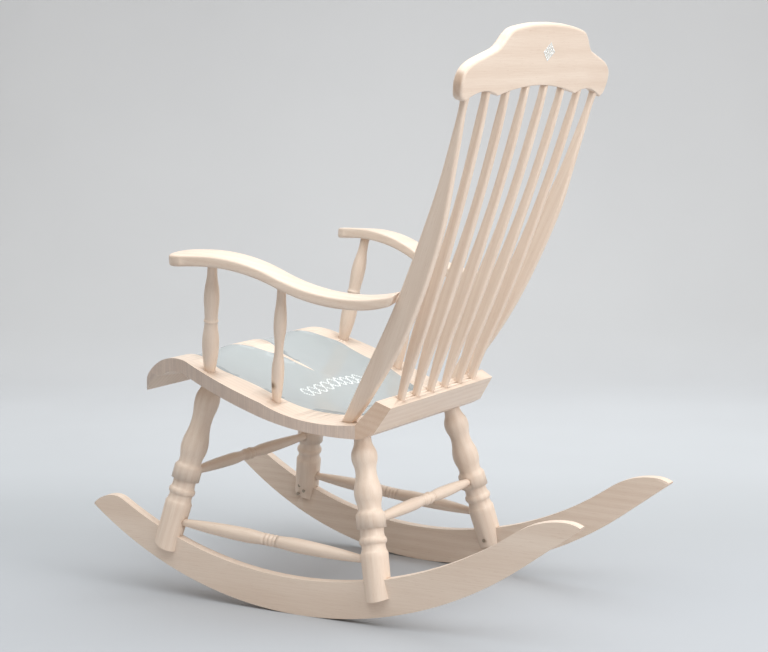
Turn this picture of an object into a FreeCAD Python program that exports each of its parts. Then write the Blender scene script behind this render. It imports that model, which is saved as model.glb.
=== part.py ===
import FreeCAD, Part
import math
import os
import Sketcher

# A full-size traditional rocking chair in bare birch.
#
# Millimetres. The chair faces -Y, the sitter's left is +X and +Z is up. The origin lies on the
# floor under the middle of the chair's bounding box. Every piece that the joiner makes is one
# solid: two runners, four turned legs, four turned stretchers, the seat board and its rear rail,
# two arms on four turned spindles, two back posts, six back spindles and the crest rail.

doc = FreeCAD.newDocument("rocking_chair")
sheet = doc.addObject("Spreadsheet::Sheet", "dims")
sheet.Label = "dims"

SIDES = {"left": 1, "right": -1}


# ---------------------------------------------------------------- sizes with their expressions

class Size:
    """A number that also carries the spreadsheet expression it comes from."""

    def __init__(self, text, value):
        self.text = text
        self.value = float(value)

    def __add__(self, other):
        return joined(self, "+", other, self.value + number(other))

    def __radd__(self, other):
        return joined(other, "+", self, number(other) + self.value)

    def __sub__(self, other):
        return joined(self, "-", other, self.value - number(other))

    def __rsub__(self, other):
        return joined(other, "-", self, number(other) - self.value)

    def __mul__(self, other):
        return joined(self, "*", other, self.value * number(other))

    def __rmul__(self, other):
        return joined(other, "*", self, number(other) * self.value)

    def __truediv__(self, other):
        return joined(self, "/", other, self.value / number(other))

    def __neg__(self):
        return Size(f"(0 - {self.text})", -self.value)


def number(thing):
    return thing.value if isinstance(thing, Size) else float(thing)


def expression(thing):
    return thing.text if isinstance(thing, Size) else f"({float(thing)!r})"


def joined(left, sign, right, value):
    return Size(f"({expression(left)} {sign} {expression(right)})", value)


def sine(angle):
    return Size(f"sin({expression(angle)})", math.sin(math.radians(number(angle))))


def cosine(angle):
    return Size(f"cos({expression(angle)})", math.cos(math.radians(number(angle))))


def absolute(size):
    return Size(f"abs({expression(size)})", abs(number(size)))


class Sizes:
    """The driving dimensions: each is a cell of the sheet, read by its name."""

    def __init__(self, cells):
        self.cells = {}
        for row, (name, value) in enumerate(cells.items(), start=1):
            sheet.set(f"A{row}", name)
            sheet.set(f"B{row}", str(value))
            sheet.setAlias(f"B{row}", name)
            self.cells[name] = Size(f"dims.{name}", value)

    def __getattr__(self, name):
        return self.cells[name]


sizes = {
    # runners: planks on edge, an arc below, a hollow arc above, a lifted tip at each end
    "runner_thickness": 21,
    "runner_spacing": 240.9,        # from the middle of the chair to a runner's middle plane
    "runner_toe": 2.86,             # degrees that the runners open towards the front
    "runner_radius": 786,
    "runner_contact": -45,          # where the arc meets the floor
    "runner_depth": 72,             # height of the plank in its middle
    "runner_top_radius": 792,
    "runner_top_middle": -51,
    "runner_front_tip": -533.5,
    "runner_front_hump": -486,
    "runner_front_neck": -462,
    "runner_rear_straight": 424,
    "runner_rear_tip": 533.5,
    "runner_rear_hump": 503,
    "runner_rear_neck": 404,
    "runner_tip_height": 3,

    # turned legs, measured up the axis from where it crosses the runner's middle plane
    "leg_bead": 92,
    "leg_below": 52,
    "leg_foot_radius": 25.5,
    "leg_barrel_radius": 27.3,
    "leg_barrel_step": 24,
    "leg_cove_radius": 23.8,
    "leg_cove_hollow": 1.8,
    "leg_bead_radius": 27.3,
    "leg_bead_half": 7,
    "leg_collar_radius": 28.6,
    "leg_collar_step": 24,
    "leg_collar_length": 28,
    "leg_collar_soft": 4,
    "leg_waist_radius": 22.8,
    "leg_waist_step": 62,
    "leg_belly_radius": 27.3,
    "leg_belly_step": 92,
    "leg_upper_waist_radius": 20.6,
    "leg_let_in": 15,
    "foot_end_rise": 34,            # the foot's end above the runner's lower edge
    "joint_gap": 0.15,
    "foot_reach": 60,

    "front_leg_y": -355.7,
    "front_leg_z": 125,
    "front_leg_splay": 11.77,       # degrees outwards
    "front_leg_rake": 11.9,         # degrees forwards
    "front_leg_waist": 146,
    "front_leg_head": 190,
    "front_leg_head_radius": 25.2,
    "front_leg_neck": 228,
    "front_leg_neck_radius": 18,
    "front_leg_seat": 245,          # from the bead to the seat's underside

    "rear_leg_y": 118.5,
    "rear_leg_z": 72,
    "rear_leg_splay": 10.6,
    "rear_leg_rake": -13.2,
    "rear_leg_waist": 133,
    "rear_leg_head": 163,
    "rear_leg_head_radius": 25.6,
    "rear_leg_neck": 196,
    "rear_leg_neck_radius": 17,
    "rear_leg_seat": 209,

    # stretchers
    "stretcher_end_radius": 7.9,
    "stretcher_let_in": 10,         # how far an end stops short of the leg's axis
    "stretcher_end_straight": 24,
    "stretcher_bead_radius": 12.4,
    "stretcher_bead_width": 9,
    "stretcher_groove_radius": 10.4,
    "side_stretcher_front": -63,    # along the leg from its bead
    "side_stretcher_rear": -40,
    "side_stretcher_belly": 56,
    "side_stretcher_belly_radius": 14.4,
    "side_stretcher_middle_radius": 12,
    "cross_stretcher_step": 37,
    "cross_stretcher_belly": 48,
    "cross_stretcher_belly_radius": 12.8,
    "cross_stretcher_middle_radius": 11,

    # seat board: one thickness all along a rolled side profile
    "seat_thickness": 27,
    "seat_crest_y": -333,
    "seat_crest_z": 487,
    "seat_crest_radius": 118,
    "seat_slope": 18.7,
    "seat_slope_length": 189,
    "seat_rear_bow": 12,
    "seat_rear_y": 65,
    "seat_rear_z": 384,
    "seat_lip_y": -421,
    "seat_lip_z": 425,
    "seat_lip_heel_y": -414,
    "seat_lip_heel_z": 414,
    "seat_roll_y": -373,
    "seat_roll_z": 447,
    "seat_half_lip": 250,
    "seat_half_front": 266,
    "seat_front_y": -311,
    "seat_half_widest": 288,
    "seat_widest_y": -165,
    "seat_half_rear": 231,
    "seat_lip_corner": 14,

    # the two hollows that the sitter's thighs lie in, at four places along the seat
    "hollow_front_y": -395,
    "hollow_front_offset": 119,
    "hollow_front_half": 76,
    "hollow_front_depth": 4,
    "hollow_crest_offset": 120,
    "hollow_crest_half": 79,
    "hollow_crest_depth": 6,
    "hollow_slope_y": -215,
    "hollow_slope_offset": 111,
    "hollow_slope_half": 109,
    "hollow_slope_depth": 9,
    "hollow_low_y": -110,
    "hollow_low_offset": 98,
    "hollow_low_half": 112,
    "hollow_low_depth": 7,
    "hollow_rear_y": -6,
    "hollow_rear_offset": 70,
    "hollow_rear_half": 74,
    "hollow_rear_depth": 0.8,

    # rear rail, glued to the seat board and leaning back
    "glue_line": 0.1,
    "rail_crest_y": 105,
    "rail_crest_z": 432.5,
    "rail_back_y": 133.5,
    "rail_back_z": 420,
    "rail_heel_y": 101,
    "rail_heel_z": 370,
    "rail_toe_y": 78,
    "rail_toe_z": 358,
    "rail_half_rear": 211,
    "rail_edge": 5,

    # arms
    "arm_thickness": 22,
    "arm_half_width": 37,
    "arm_half_rear": 23,
    "arm_overhang": 14,             # how far an arm's middle lies outside its front spindle
    "arm_roll": 5,                  # degrees that the outer edge hangs lower
    "arm_front": -299,
    "arm_front_z": 704,
    "arm_crest": -224,
    "arm_crest_rise": 4,            # over the front end
    "arm_crest_share": 0.48,
    "arm_dip": 91,
    "arm_dip_fall": 74,             # from the crest down to the dip
    "arm_rear": 167,
    "arm_rear_rise": 10,            # over the dip
    "arm_rear_lean": 12,
    "arm_edge": 5,

    # turned arm spindles, measured up the axis from the seat
    "spindle_let_in": 12,
    "front_spindle_x": 253.6,
    "front_spindle_y": -255,
    "front_spindle_splay": 9.2,
    "front_spindle_rake": 9,
    "front_spindle_foot_radius": 10.2,
    "front_spindle_belly": 61,
    "front_spindle_belly_radius": 16.8,
    "front_spindle_ring": 103,
    "front_spindle_ring_radius": 14.6,
    "front_spindle_ring_width": 5,
    "front_spindle_waist_radius": 13,
    "front_spindle_head_belly": 153,
    "front_spindle_head_belly_radius": 15.3,
    "front_spindle_head_radius": 9.6,

    "middle_spindle_x": 237,
    "middle_spindle_y": -109,
    "middle_spindle_splay": 8,
    "middle_spindle_rake": 8.8,
    "middle_spindle_foot_radius": 8.3,
    "middle_spindle_belly": 62,
    "middle_spindle_belly_radius": 12.3,
    "middle_spindle_waist": 106,
    "middle_spindle_waist_radius": 8.6,
    "middle_spindle_head_belly": 158,
    "middle_spindle_head_belly_radius": 12.6,
    "middle_spindle_head_radius": 8.8,

    # back: two posts with flat spindles between, evenly spaced along the seat and the crest
    "back_members": 8,
    "back_pitch_foot": 58,
    "back_pitch_head": 79,
    "back_foot_z": 404,
    "back_head_z": 1002,
    "back_head_y": 320.5,
    "back_let_in": 40,              # height of the tenons inside the crest

    # back spindles: slats on edge, deepest behind the sitter's waist
    "back_spindle_thickness": 15,
    "back_spindle_end_thickness": 13,
    "back_spindle_corner": 5,
    "back_spindle_foot_z": 425,
    "back_spindle_foot_y": 118,
    "back_spindle_foot_depth": 15,
    "back_spindle_let_in": 14,
    "back_spindle_let_in_lean": 0.3,
    "back_spindle_ankle_z": 470,
    "back_spindle_ankle_y": 132,
    "back_spindle_ankle_depth": 19,
    "back_spindle_low_z": 525,
    "back_spindle_low_y": 151.5,
    "back_spindle_low_depth": 26,
    "back_spindle_waist_z": 635,
    "back_spindle_waist_y": 195,
    "back_spindle_waist_depth": 29,
    "back_spindle_high_z": 745,
    "back_spindle_high_y": 238,
    "back_spindle_high_depth": 22,
    "back_spindle_neck_z": 875,
    "back_spindle_neck_y": 283,
    "back_spindle_neck_depth": 18.5,
    "back_spindle_head_depth": 15.5,

    # back posts: boards on edge, deepest where the arms meet them
    "post_foot_z": 389,
    "post_foot_y": 37,
    "post_foot_depth": 27,
    "post_low_z": 440,
    "post_low_y": 72,
    "post_low_depth": 39,
    "post_shin_z": 510,
    "post_shin_y": 117,
    "post_shin_depth": 49,
    "post_arm_z": 610,
    "post_arm_y": 174,
    "post_arm_depth": 50,
    "post_high_z": 700,
    "post_high_y": 216.5,
    "post_high_depth": 46,
    "post_neck_z": 790,
    "post_neck_y": 253.5,
    "post_neck_depth": 38,
    "post_throat_z": 840,
    "post_throat_y": 271,
    "post_throat_depth": 29.5,
    "post_throat_thickness": 17.5,
    "post_nape_z": 890,
    "post_nape_y": 287,
    "post_nape_depth": 23,
    "post_nape_thickness": 16,
    "post_collar_z": 945,
    "post_collar_y": 303.7,
    "post_collar_depth": 17.5,
    "post_collar_thickness": 14.5,
    "post_head_depth": 15.5,
    "post_head_thickness": 13,
    "post_thickness": 18,
    "post_corner": 5,
    "post_let_in": 13,
    "post_let_in_lean": 0.7,        # how far a tenon runs forwards for each step down

    # crest rail: a shaped board that leans with the back
    "crest_lean": 13.45,
    "crest_thickness": 21,
    "crest_half_width": 313,
    "crest_end_low": 17,
    "crest_end_high": 45,
    "crest_lobe_x": 289,
    "crest_shoulder_x": 297,
    "crest_shoulder_rise": 62,
    "crest_slope_x": 203,
    "crest_slope_rise": 92,
    "crest_step_x": 177,
    "crest_step_rise": 112,
    "crest_step_hollow": 3.5,
    "crest_crown_x": 142,
    "crest_crown_rise": 132,
    "crest_height": 146.5,
    "crest_cusp_x": 168,
    "crest_cusp_rise": 10,
    "crest_scallop": 13,
    "crest_arch_rise": 28,
    "crest_corner": 9,
    "crest_edge": 4.5,

    # screws through the inner cheeks of the feet
    "screw_head_radius": 3.8,
    "screw_head_depth": 2.6,
    "screw_shank_radius": 2,
    "screw_length": 22,
    "screw_spacing": 15,
}
dims = Sizes(sizes)


# ---------------------------------------------------------------- drawing and building helpers

def bind(thing, name, size):
    thing.setExpression(name, expression(size))


class Outline:
    """A chain of lines and arcs whose corners are sizes. Arcs turn left of travel for bend > 0."""

    def __init__(self, x, y):
        self.corners = [(x, y)]
        self.pieces = []

    def line(self, x, y):
        self.corners.append((x, y))
        self.pieces.append(("line", None, None))
        return self

    def arc(self, x, y, radius, side):
        self.corners.append((x, y))
        self.pieces.append(("arc", radius, side))
        return self

    def bow(self, x, y, rise, side):
        """An arc given by its rise over the chord."""
        across, along = self.span(x, y)
        half_squared = (across * across + along * along) / 4
        return self.arc(x, y, (half_squared + rise * rise) / (2 * rise), side)

    def smooth(self, x, y):
        """An arc that leaves the last piece without a corner."""
        self.corners.append((x, y))
        self.pieces.append(("smooth", None, None))
        return self

    def upright(self, x, y, side):
        """An arc with one end along the second axis: the one that side calls for."""
        across, along = self.span(x, y)
        return self.arc(x, y, (along * along + across * across) / (2 * absolute(across)), side)

    def level(self, x, y, side):
        """An arc with one end along the first axis."""
        across, along = self.span(x, y)
        return self.arc(x, y, (along * along + across * across) / (2 * absolute(along)), side)

    def swell(self, x, y):
        """Two equal arcs, both upright where they end: a turned hollow or belly."""
        across, along = self.span(x, y)
        side = 1 if number(across) * number(along) < 0 else -1
        start_x, start_y = self.corners[-1]
        self.upright((x + start_x) / 2, (y + start_y) / 2, side)
        return self.upright(x, y, -side)

    def wave(self, x, y, share):
        """Two arcs, both level where they end, that meet a given share of the way along."""
        across, along = self.span(x, y)
        side = 1 if number(across) * number(along) > 0 else -1
        start_x, start_y = self.corners[-1]
        self.level(start_x + across * share, start_y + along * share, side)
        return self.level(x, y, -side)

    def span(self, x, y):
        start_x, start_y = self.corners[-1]
        return x - start_x, y - start_y

    def close(self):
        return self.line(*self.corners[0])


def arc_centre(start, end, radius, side):
    """Centre of the shorter arc; it lies left of travel for side 1."""
    middle = (start + end) / 2
    across = end - start
    reach = math.sqrt(max(radius ** 2 - across.Length ** 2 / 4, 0))
    left = FreeCAD.Vector(-across.y, across.x, 0).normalize()
    return middle + left * reach * side


def tangent_arc(start, end, heading):
    """Centre and side of the arc from start to end that sets off along heading."""
    left = FreeCAD.Vector(-heading.y, heading.x, 0)
    across = end - start
    offset = across.Length ** 2 / (2 * across.dot(left))
    return start + left * offset, (1 if offset > 0 else -1)


def draw(sketch, outline):
    """Draws a closed outline in a sketch and ties every corner and radius to the sheet."""
    points = [FreeCAD.Vector(number(x), number(y), 0) for x, y in outline.corners]
    heading = None
    ends = []
    rules = []
    for step, (kind, radius, side) in enumerate(outline.pieces):
        start, end = points[step], points[step + 1]
        if kind == "line":
            index = sketch.addGeometry(Part.LineSegment(start, end), False)
            heading = (end - start).normalize()
            ends.append((index, 1, 2))
            continue
        if kind == "arc":
            centre = arc_centre(start, end, number(radius), side)
        else:
            centre, side = tangent_arc(start, end, heading)
        circle = Part.Circle(centre, FreeCAD.Vector(0, 0, 1), (start - centre).Length)
        first, last = (start, end) if side > 0 else (end, start)
        angles = [math.atan2(p.y - centre.y, p.x - centre.x) for p in (first, last)]
        index = sketch.addGeometry(Part.ArcOfCircle(circle, *angles), False)
        spoke = (end - centre).normalize()
        heading = FreeCAD.Vector(-spoke.y * side, spoke.x * side, 0)
        ends.append((index, 1, 2) if side > 0 else (index, 2, 1))
        if kind == "arc":
            rules.append((Sketcher.Constraint("Radius", index, number(radius)), radius))
    for step, (index, first, _) in enumerate(ends):
        before, _, before_last = ends[step - 1]
        meet = "Tangent" if outline.pieces[step][0] == "smooth" else "Coincident"
        rules.append((Sketcher.Constraint(meet, before, before_last, index, first), None))
        rules += pins(index, first, *outline.corners[step])
    tie(sketch, rules)


def pins(index, point, x, y):
    """Rules that hold a point at two sizes from the sketch's origin."""
    rules = []
    for kind, axis, size in (("DistanceX", -2, x), ("DistanceY", -1, y)):
        if number(size) == 0:
            rules.append((Sketcher.Constraint("PointOnObject", index, point, axis), None))
        else:
            rules.append((Sketcher.Constraint(kind, -1, 1, index, point, number(size)), size))
    return rules


def tie(sketch, rules):
    """Adds constraints to a sketch and binds the sized ones to the sheet."""
    first = sketch.ConstraintCount
    sketch.addConstraint([rule for rule, _ in rules])
    for index, (_, size) in enumerate(rules, start=first):
        if isinstance(size, Size):
            bind(sketch, f"Constraints[{index}]", size)


def new_body(label):
    body = doc.addObject("PartDesign::Body", label)
    body.Label = label
    return body


def plane(body, role):
    return next(part for part in body.Origin.OriginFeatures if part.Role == role)


def new_sketch(body, role, label, height=None):
    sketch = body.newObject("Sketcher::SketchObject", label)
    sketch.AttachmentSupport = (plane(body, role), [""])
    sketch.MapMode = "FlatFace"
    if height is not None:
        bind(sketch, "AttachmentOffset.Base.z", height)
        sketch.AttachmentOffset.Base.z = number(height)
    return sketch


def pad_outline(body, role, outline, thickness, label):
    """Pads an outline to equal depths either side of its plane."""
    sketch = new_sketch(body, role, f"{label}_outline")
    draw(sketch, outline)
    pad = body.newObject("PartDesign::Pad", f"{label}_pad")
    pad.Profile = sketch
    bind(pad, "Length", thickness)
    pad.Midplane = True
    return pad


def turn(label, outline):
    """Revolves a half outline about the body's own Z axis, as on a lathe."""
    body = new_body(label)
    sketch = new_sketch(body, "XZ_Plane", f"{label}_profile")
    draw(sketch, outline)
    revolution = body.newObject("PartDesign::Revolution", f"{label}_turning")
    revolution.Profile = sketch
    revolution.ReferenceAxis = (sketch, ["V_Axis"])
    revolution.Angle = 360
    return body


def root(size):
    return Size(f"sqrt({expression(size)})", math.sqrt(number(size)))


def tangent(angle):
    return Size(f"tan({expression(angle)})", math.tan(math.radians(number(angle))))


def circle_rise(radius, reach):
    """Height of a circle over its lowest point, at a distance to the side of it."""
    return radius - root(radius * radius - reach * reach)


def distance(first, second):
    squares = [(b - a) * (b - a) for a, b in zip(first, second)]
    return root(squares[0] + squares[1] + squares[2])


class Axis:
    """The middle line of a straight member: a start and a direction, both made of sizes."""

    def __init__(self, start, way):
        self.start = start
        length = root(way[0] * way[0] + way[1] * way[1] + way[2] * way[2])
        self.way = [part / length for part in way]

    def at(self, step):
        return [begin + part * step for begin, part in zip(self.start, self.way)]

    def place(self, thing, step=0.0):
        """Stands a thing on the axis, its own Z along it."""
        direction = FreeCAD.Vector(*[number(part) for part in self.way])
        settle(thing, self.at(step), FreeCAD.Rotation(FreeCAD.Vector(0, 0, 1), direction))


def between(first, second):
    return Axis(first, [b - a for a, b in zip(first, second)])


def settle(thing, place, turning=FreeCAD.Rotation()):
    thing.Placement = FreeCAD.Placement(FreeCAD.Vector(*[number(part) for part in place]), turning)
    for name, part in zip("xyz", place):
        bind(thing, f"Placement.Base.{name}", part)


def about_z(degrees):
    return FreeCAD.Rotation(FreeCAD.Vector(0, 0, 1), number(degrees))


def bore(label, axis, first, last, radius):
    """A drill's sweep along an axis, wider than its member by the joint gap."""
    drill = doc.addObject("Part::Cylinder", label)
    bind(drill, "Radius", radius + dims.joint_gap)
    bind(drill, "Height", last - first)
    drill.Radius = number(radius + dims.joint_gap)
    drill.Height = number(last - first)
    axis.place(drill, first)
    return drill


def loft(body, label, outlines, ruled=False):
    """Joins level outlines, each given with its height."""
    sections = []
    for step, (height, outline) in enumerate(outlines):
        sketch = new_sketch(body, "XY_Plane", f"{label}_section_{step}", height)
        draw(sketch, outline)
        sections.append(sketch)
    solid = body.newObject("PartDesign::AdditiveLoft", label)
    solid.Profile = sections[0]
    solid.Sections = sections[1:]
    solid.Ruled = ruled
    return solid


def rounded(x, y, width, depth, corner):
    """A rectangle with rounded corners, for a board's section."""
    half_x, half_y = width / 2, depth / 2
    flat_x, flat_y = half_x - corner, half_y - corner
    outline = Outline(x - flat_x, y - half_y).line(x + flat_x, y - half_y)
    outline.arc(x + half_x, y - flat_y, corner, 1).line(x + half_x, y + flat_y)
    outline.arc(x + flat_x, y + half_y, corner, 1).line(x - flat_x, y + half_y)
    outline.arc(x - half_x, y + flat_y, corner, 1).line(x - half_x, y - flat_y)
    return outline.arc(x - flat_x, y - half_y, corner, 1)


def soften(body, label, feature, radius, wanted):
    """Rounds the wanted edges of a feature."""
    doc.recompute([body])
    names = [f"Edge{index}" for index, edge in enumerate(feature.Shape.Edges, start=1)
             if wanted(edge)]
    fillet = body.newObject("PartDesign::Fillet", label)
    fillet.Base = (feature, names)
    bind(fillet, "Radius", radius)
    fillet.Radius = number(radius)
    body.Tip = fillet
    return fillet


def middle(edge):
    first, last = edge.ParameterRange
    return edge.valueAt((first + last) / 2)


def along(edge, axis):
    return abs(getattr(edge.tangentAt(edge.FirstParameter), axis)) > 0.9


# ---------------------------------------------------------------- runners

def runner_low(y):
    return circle_rise(dims.runner_radius, y - dims.runner_contact)


def runner_top(y):
    return dims.runner_depth + circle_rise(dims.runner_top_radius, y - dims.runner_top_middle)


def runner_x(y, side):
    """The middle plane of a runner: it opens towards the front."""
    return (dims.runner_spacing - y * tangent(dims.runner_toe)) * side


def hump_rise(neck, hump):
    """Height of a hump whose arc leaves the hollow top smoothly and ends level."""
    reach = absolute(neck - dims.runner_top_middle)
    radius = dims.runner_top_radius
    half_slope = reach / (radius + root(radius * radius - reach * reach))
    return runner_top(neck) + absolute(hump - neck) * half_slope


def runner_outline():
    front_tip, rear_tip = dims.runner_front_tip, dims.runner_rear_tip
    front_neck, rear_neck = dims.runner_front_neck, dims.runner_rear_neck
    front_hump, rear_hump = dims.runner_front_hump, dims.runner_rear_hump
    straight = dims.runner_rear_straight
    radius = dims.runner_radius
    reach = straight - dims.runner_contact
    slope = reach / root(radius * radius - reach * reach)
    rear_low = runner_low(straight) + (rear_tip - straight) * slope
    outline = Outline(rear_neck, runner_top(rear_neck))
    outline.arc(front_neck, runner_top(front_neck), dims.runner_top_radius, -1)
    outline.level(front_hump, hump_rise(front_neck, front_hump), 1)
    outline.level(front_tip, runner_low(front_tip) + dims.runner_tip_height, 1)
    outline.line(front_tip, runner_low(front_tip))
    outline.arc(straight, runner_low(straight), radius, 1)
    outline.line(rear_tip, rear_low).line(rear_tip, rear_low + dims.runner_tip_height)
    outline.level(rear_hump, hump_rise(rear_neck, rear_hump), 1)
    return outline.level(rear_neck, runner_top(rear_neck), 1)


def stand_on_edge(body, side):
    """Stands a body cut from the runner's plank in the runner's own plane."""
    settle(body, [runner_x(0, side), 0, 0], about_z(dims.runner_toe * side))


def make_runner(name, side):
    body = new_body(f"{name}_blank")
    pad_outline(body, "YZ_Plane", runner_outline(), dims.runner_thickness, f"{name}_plank")
    stand_on_edge(body, side)
    return body


def foot_tool(name, side, radius, centre_y, centre_z, thickness):
    """Everything under an arc: what is taken out of a leg's foot to fit the runner."""
    front = dims.front_leg_y - dims.foot_reach
    rear = dims.rear_leg_y + dims.foot_reach

    def rise(y):
        return centre_z - root(radius * radius - (y - centre_y) * (y - centre_y))

    outline = Outline(front, rise(front)).line(front, -dims.foot_reach)
    outline.line(rear, -dims.foot_reach).line(rear, rise(rear))
    outline.arc(front, rise(front), radius, -1)
    body = new_body(name)
    pad_outline(body, "YZ_Plane", outline, thickness, name)
    stand_on_edge(body, side)
    return body


# ---------------------------------------------------------------- turned legs

LEGS = {
    "front": {"y": dims.front_leg_y, "z": dims.front_leg_z, "splay": dims.front_leg_splay,
              "rake": dims.front_leg_rake, "waist": dims.front_leg_waist,
              "head": dims.front_leg_head, "head_radius": dims.front_leg_head_radius,
              "neck": dims.front_leg_neck, "neck_radius": dims.front_leg_neck_radius,
              "seat": dims.front_leg_seat},
    "rear": {"y": dims.rear_leg_y, "z": dims.rear_leg_z, "splay": dims.rear_leg_splay,
             "rake": dims.rear_leg_rake, "waist": dims.rear_leg_waist,
             "head": dims.rear_leg_head, "head_radius": dims.rear_leg_head_radius,
             "neck": dims.rear_leg_neck, "neck_radius": dims.rear_leg_neck_radius,
             "seat": dims.rear_leg_seat},
}


def leg_axis(leg, side):
    """A leg's middle line, from the runner's middle plane up to the seat."""
    start = [runner_x(leg["y"], side), leg["y"], leg["z"]]
    return Axis(start, [-tangent(leg["splay"]) * side, tangent(leg["rake"]), Size("1", 1)])


def leg_profile(leg):
    """Barrel foot, bead between two coves, square-shouldered collar, then three swellings."""
    bead, half = dims.leg_bead, dims.leg_bead_half
    cove = dims.leg_cove_radius
    collar = bead + dims.leg_collar_step
    profile = Outline(0, -dims.leg_below).line(dims.leg_foot_radius, -dims.leg_below)
    profile.line(dims.leg_barrel_radius, bead - dims.leg_barrel_step)
    profile.bow(cove, bead - half, dims.leg_cove_hollow, -1)
    profile.bow(cove, bead + half, dims.leg_bead_radius - cove, 1)
    profile.bow(cove, collar, dims.leg_cove_hollow / 2, -1)
    profile.line(dims.leg_collar_radius, collar)
    profile.line(dims.leg_collar_radius, collar + dims.leg_collar_length - dims.leg_collar_soft)
    profile.swell(dims.leg_waist_radius, bead + dims.leg_waist_step)
    profile.swell(dims.leg_belly_radius, bead + dims.leg_belly_step)
    profile.swell(dims.leg_upper_waist_radius, bead + leg["waist"])
    profile.swell(leg["head_radius"], bead + leg["head"])
    profile.swell(leg["neck_radius"], bead + leg["neck"])
    top = bead + leg["seat"] + dims.leg_let_in
    return profile.line(leg["neck_radius"], top).line(0, top).close()


# ---------------------------------------------------------------- turned stretchers

def stretcher_profile(length, belly, belly_radius, middle_radius, beads):
    """A taper to each end, a swelling on each side and a run of beads in the middle."""
    width = dims.stretcher_bead_width
    run = width * beads / 2
    half = length / 2
    straight = dims.stretcher_end_straight
    profile = Outline(0, -half).line(dims.stretcher_end_radius, -half)
    profile.line(dims.stretcher_end_radius, straight - half)
    profile.upright(belly_radius, -belly, 1)
    profile.swell(middle_radius, -run)
    groove = dims.stretcher_groove_radius
    profile.line(groove, -run)
    bead_end = -run
    for _ in range(beads):
        bead_end = bead_end + width
        profile.bow(groove, bead_end, dims.stretcher_bead_radius - groove, 1)
    profile.line(middle_radius, run)
    profile.swell(belly_radius, belly)
    profile.upright(dims.stretcher_end_radius, half - straight, 1)
    profile.line(dims.stretcher_end_radius, half)
    return profile.line(0, half).close()


def make_stretcher(name, first, second, belly, belly_radius, middle_radius, beads):
    """A stretcher from one leg's middle line to another's, with the drill for its ends."""
    axis = between(first, second)
    span = distance(first, second)
    length = span - 2 * dims.stretcher_let_in
    body = turn(name, stretcher_profile(length, belly, belly_radius, middle_radius, beads))
    axis.place(body, span / 2)
    drill = bore(f"{name}_drill", axis, dims.stretcher_let_in - dims.joint_gap,
                 span - dims.stretcher_let_in + dims.joint_gap, dims.stretcher_end_radius)
    return body, drill


# ---------------------------------------------------------------- seat board and rail

def slope_start():
    """Where the roll over the seat's front crest becomes the straight slope."""
    y = dims.seat_crest_y + dims.seat_crest_radius * sine(dims.seat_slope)
    z = dims.seat_crest_z - dims.seat_crest_radius * (1 - cosine(dims.seat_slope))
    return y, z


def seat_top(y):
    """Height of the seat's straight slope, carried on as far as the arm spindles stand."""
    start_y, start_z = slope_start()
    return start_z - (y - start_y) * tangent(dims.seat_slope)


def slope_end():
    start_y, start_z = slope_start()
    length = dims.seat_slope_length
    return start_y + length * cosine(dims.seat_slope), start_z - length * sine(dims.seat_slope)


def seat_height(y):
    """Height of the seat's top: a roll in front, the slope, then a hollow bow up to the rail."""
    crest_y, crest_z = dims.seat_crest_y, dims.seat_crest_z
    start_y, _ = slope_start()
    end_y, end_z = slope_end()
    if number(y) < number(crest_y):
        run, fall = crest_y - dims.seat_lip_y, crest_z - dims.seat_lip_z
        return crest_z - circle_rise((run * run + fall * fall) / (2 * fall), y - crest_y)
    if number(y) < number(start_y):
        return crest_z - circle_rise(dims.seat_crest_radius, y - crest_y)
    if number(y) < number(end_y):
        return seat_top(y)
    run, fall, bow = dims.seat_rear_y - end_y, end_z - dims.seat_rear_z, dims.seat_rear_bow
    chord = root(run * run + fall * fall)
    radius = (chord * chord / 4 + bow * bow) / (2 * bow)
    centre_y = (end_y + dims.seat_rear_y) / 2 + (radius - bow) * fall / chord
    centre_z = (end_z + dims.seat_rear_z) / 2 + (radius - bow) * run / chord
    return centre_z - root(radius * radius - (y - centre_y) * (y - centre_y))


def seat_profile():
    thick, slope = dims.seat_thickness, dims.seat_slope
    start_y, start_z = slope_start()
    end_y, end_z = slope_end()
    under_y, under_z = thick * sine(slope), thick * cosine(slope)
    crest_y, crest_z = dims.seat_crest_y, dims.seat_crest_z
    profile = Outline(dims.seat_lip_heel_y, dims.seat_lip_heel_z)
    profile.line(dims.seat_roll_y, dims.seat_roll_z)
    profile.level(crest_y, crest_z - thick, -1)
    profile.arc(start_y - under_y, start_z - under_z, dims.seat_crest_radius - thick, -1)
    profile.line(end_y - under_y, end_z - under_z)
    profile.smooth(dims.seat_rear_y, dims.seat_rear_z - thick)
    profile.line(dims.seat_rear_y, dims.seat_rear_z)
    profile.bow(end_y, end_z, dims.seat_rear_bow, -1)
    profile.line(start_y, start_z)
    profile.arc(crest_y, crest_z, dims.seat_crest_radius, 1)
    profile.level(dims.seat_lip_y, dims.seat_lip_z, 1)
    return profile.close()


def side_waste(body, label, corners):
    """Takes the waste off both sides of a seat piece: corners run from front to rear."""
    sketch = new_sketch(body, "XY_Plane", f"{label}_waste")
    draw(sketch, corners)
    pocket = body.newObject("PartDesign::Pocket", f"{label}_side")
    pocket.Profile = sketch
    pocket.Type = "ThroughAll"
    pocket.Midplane = True
    return both_sides(body, f"{label}_sides", [pocket])


def both_sides(body, label, features):
    """The same work again on the other side of the chair's middle."""
    mirrored = body.newObject("PartDesign::Mirrored", label)
    mirrored.Originals = features
    mirrored.MirrorPlane = (plane(body, "YZ_Plane"), [""])
    body.Tip = mirrored
    return mirrored


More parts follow.
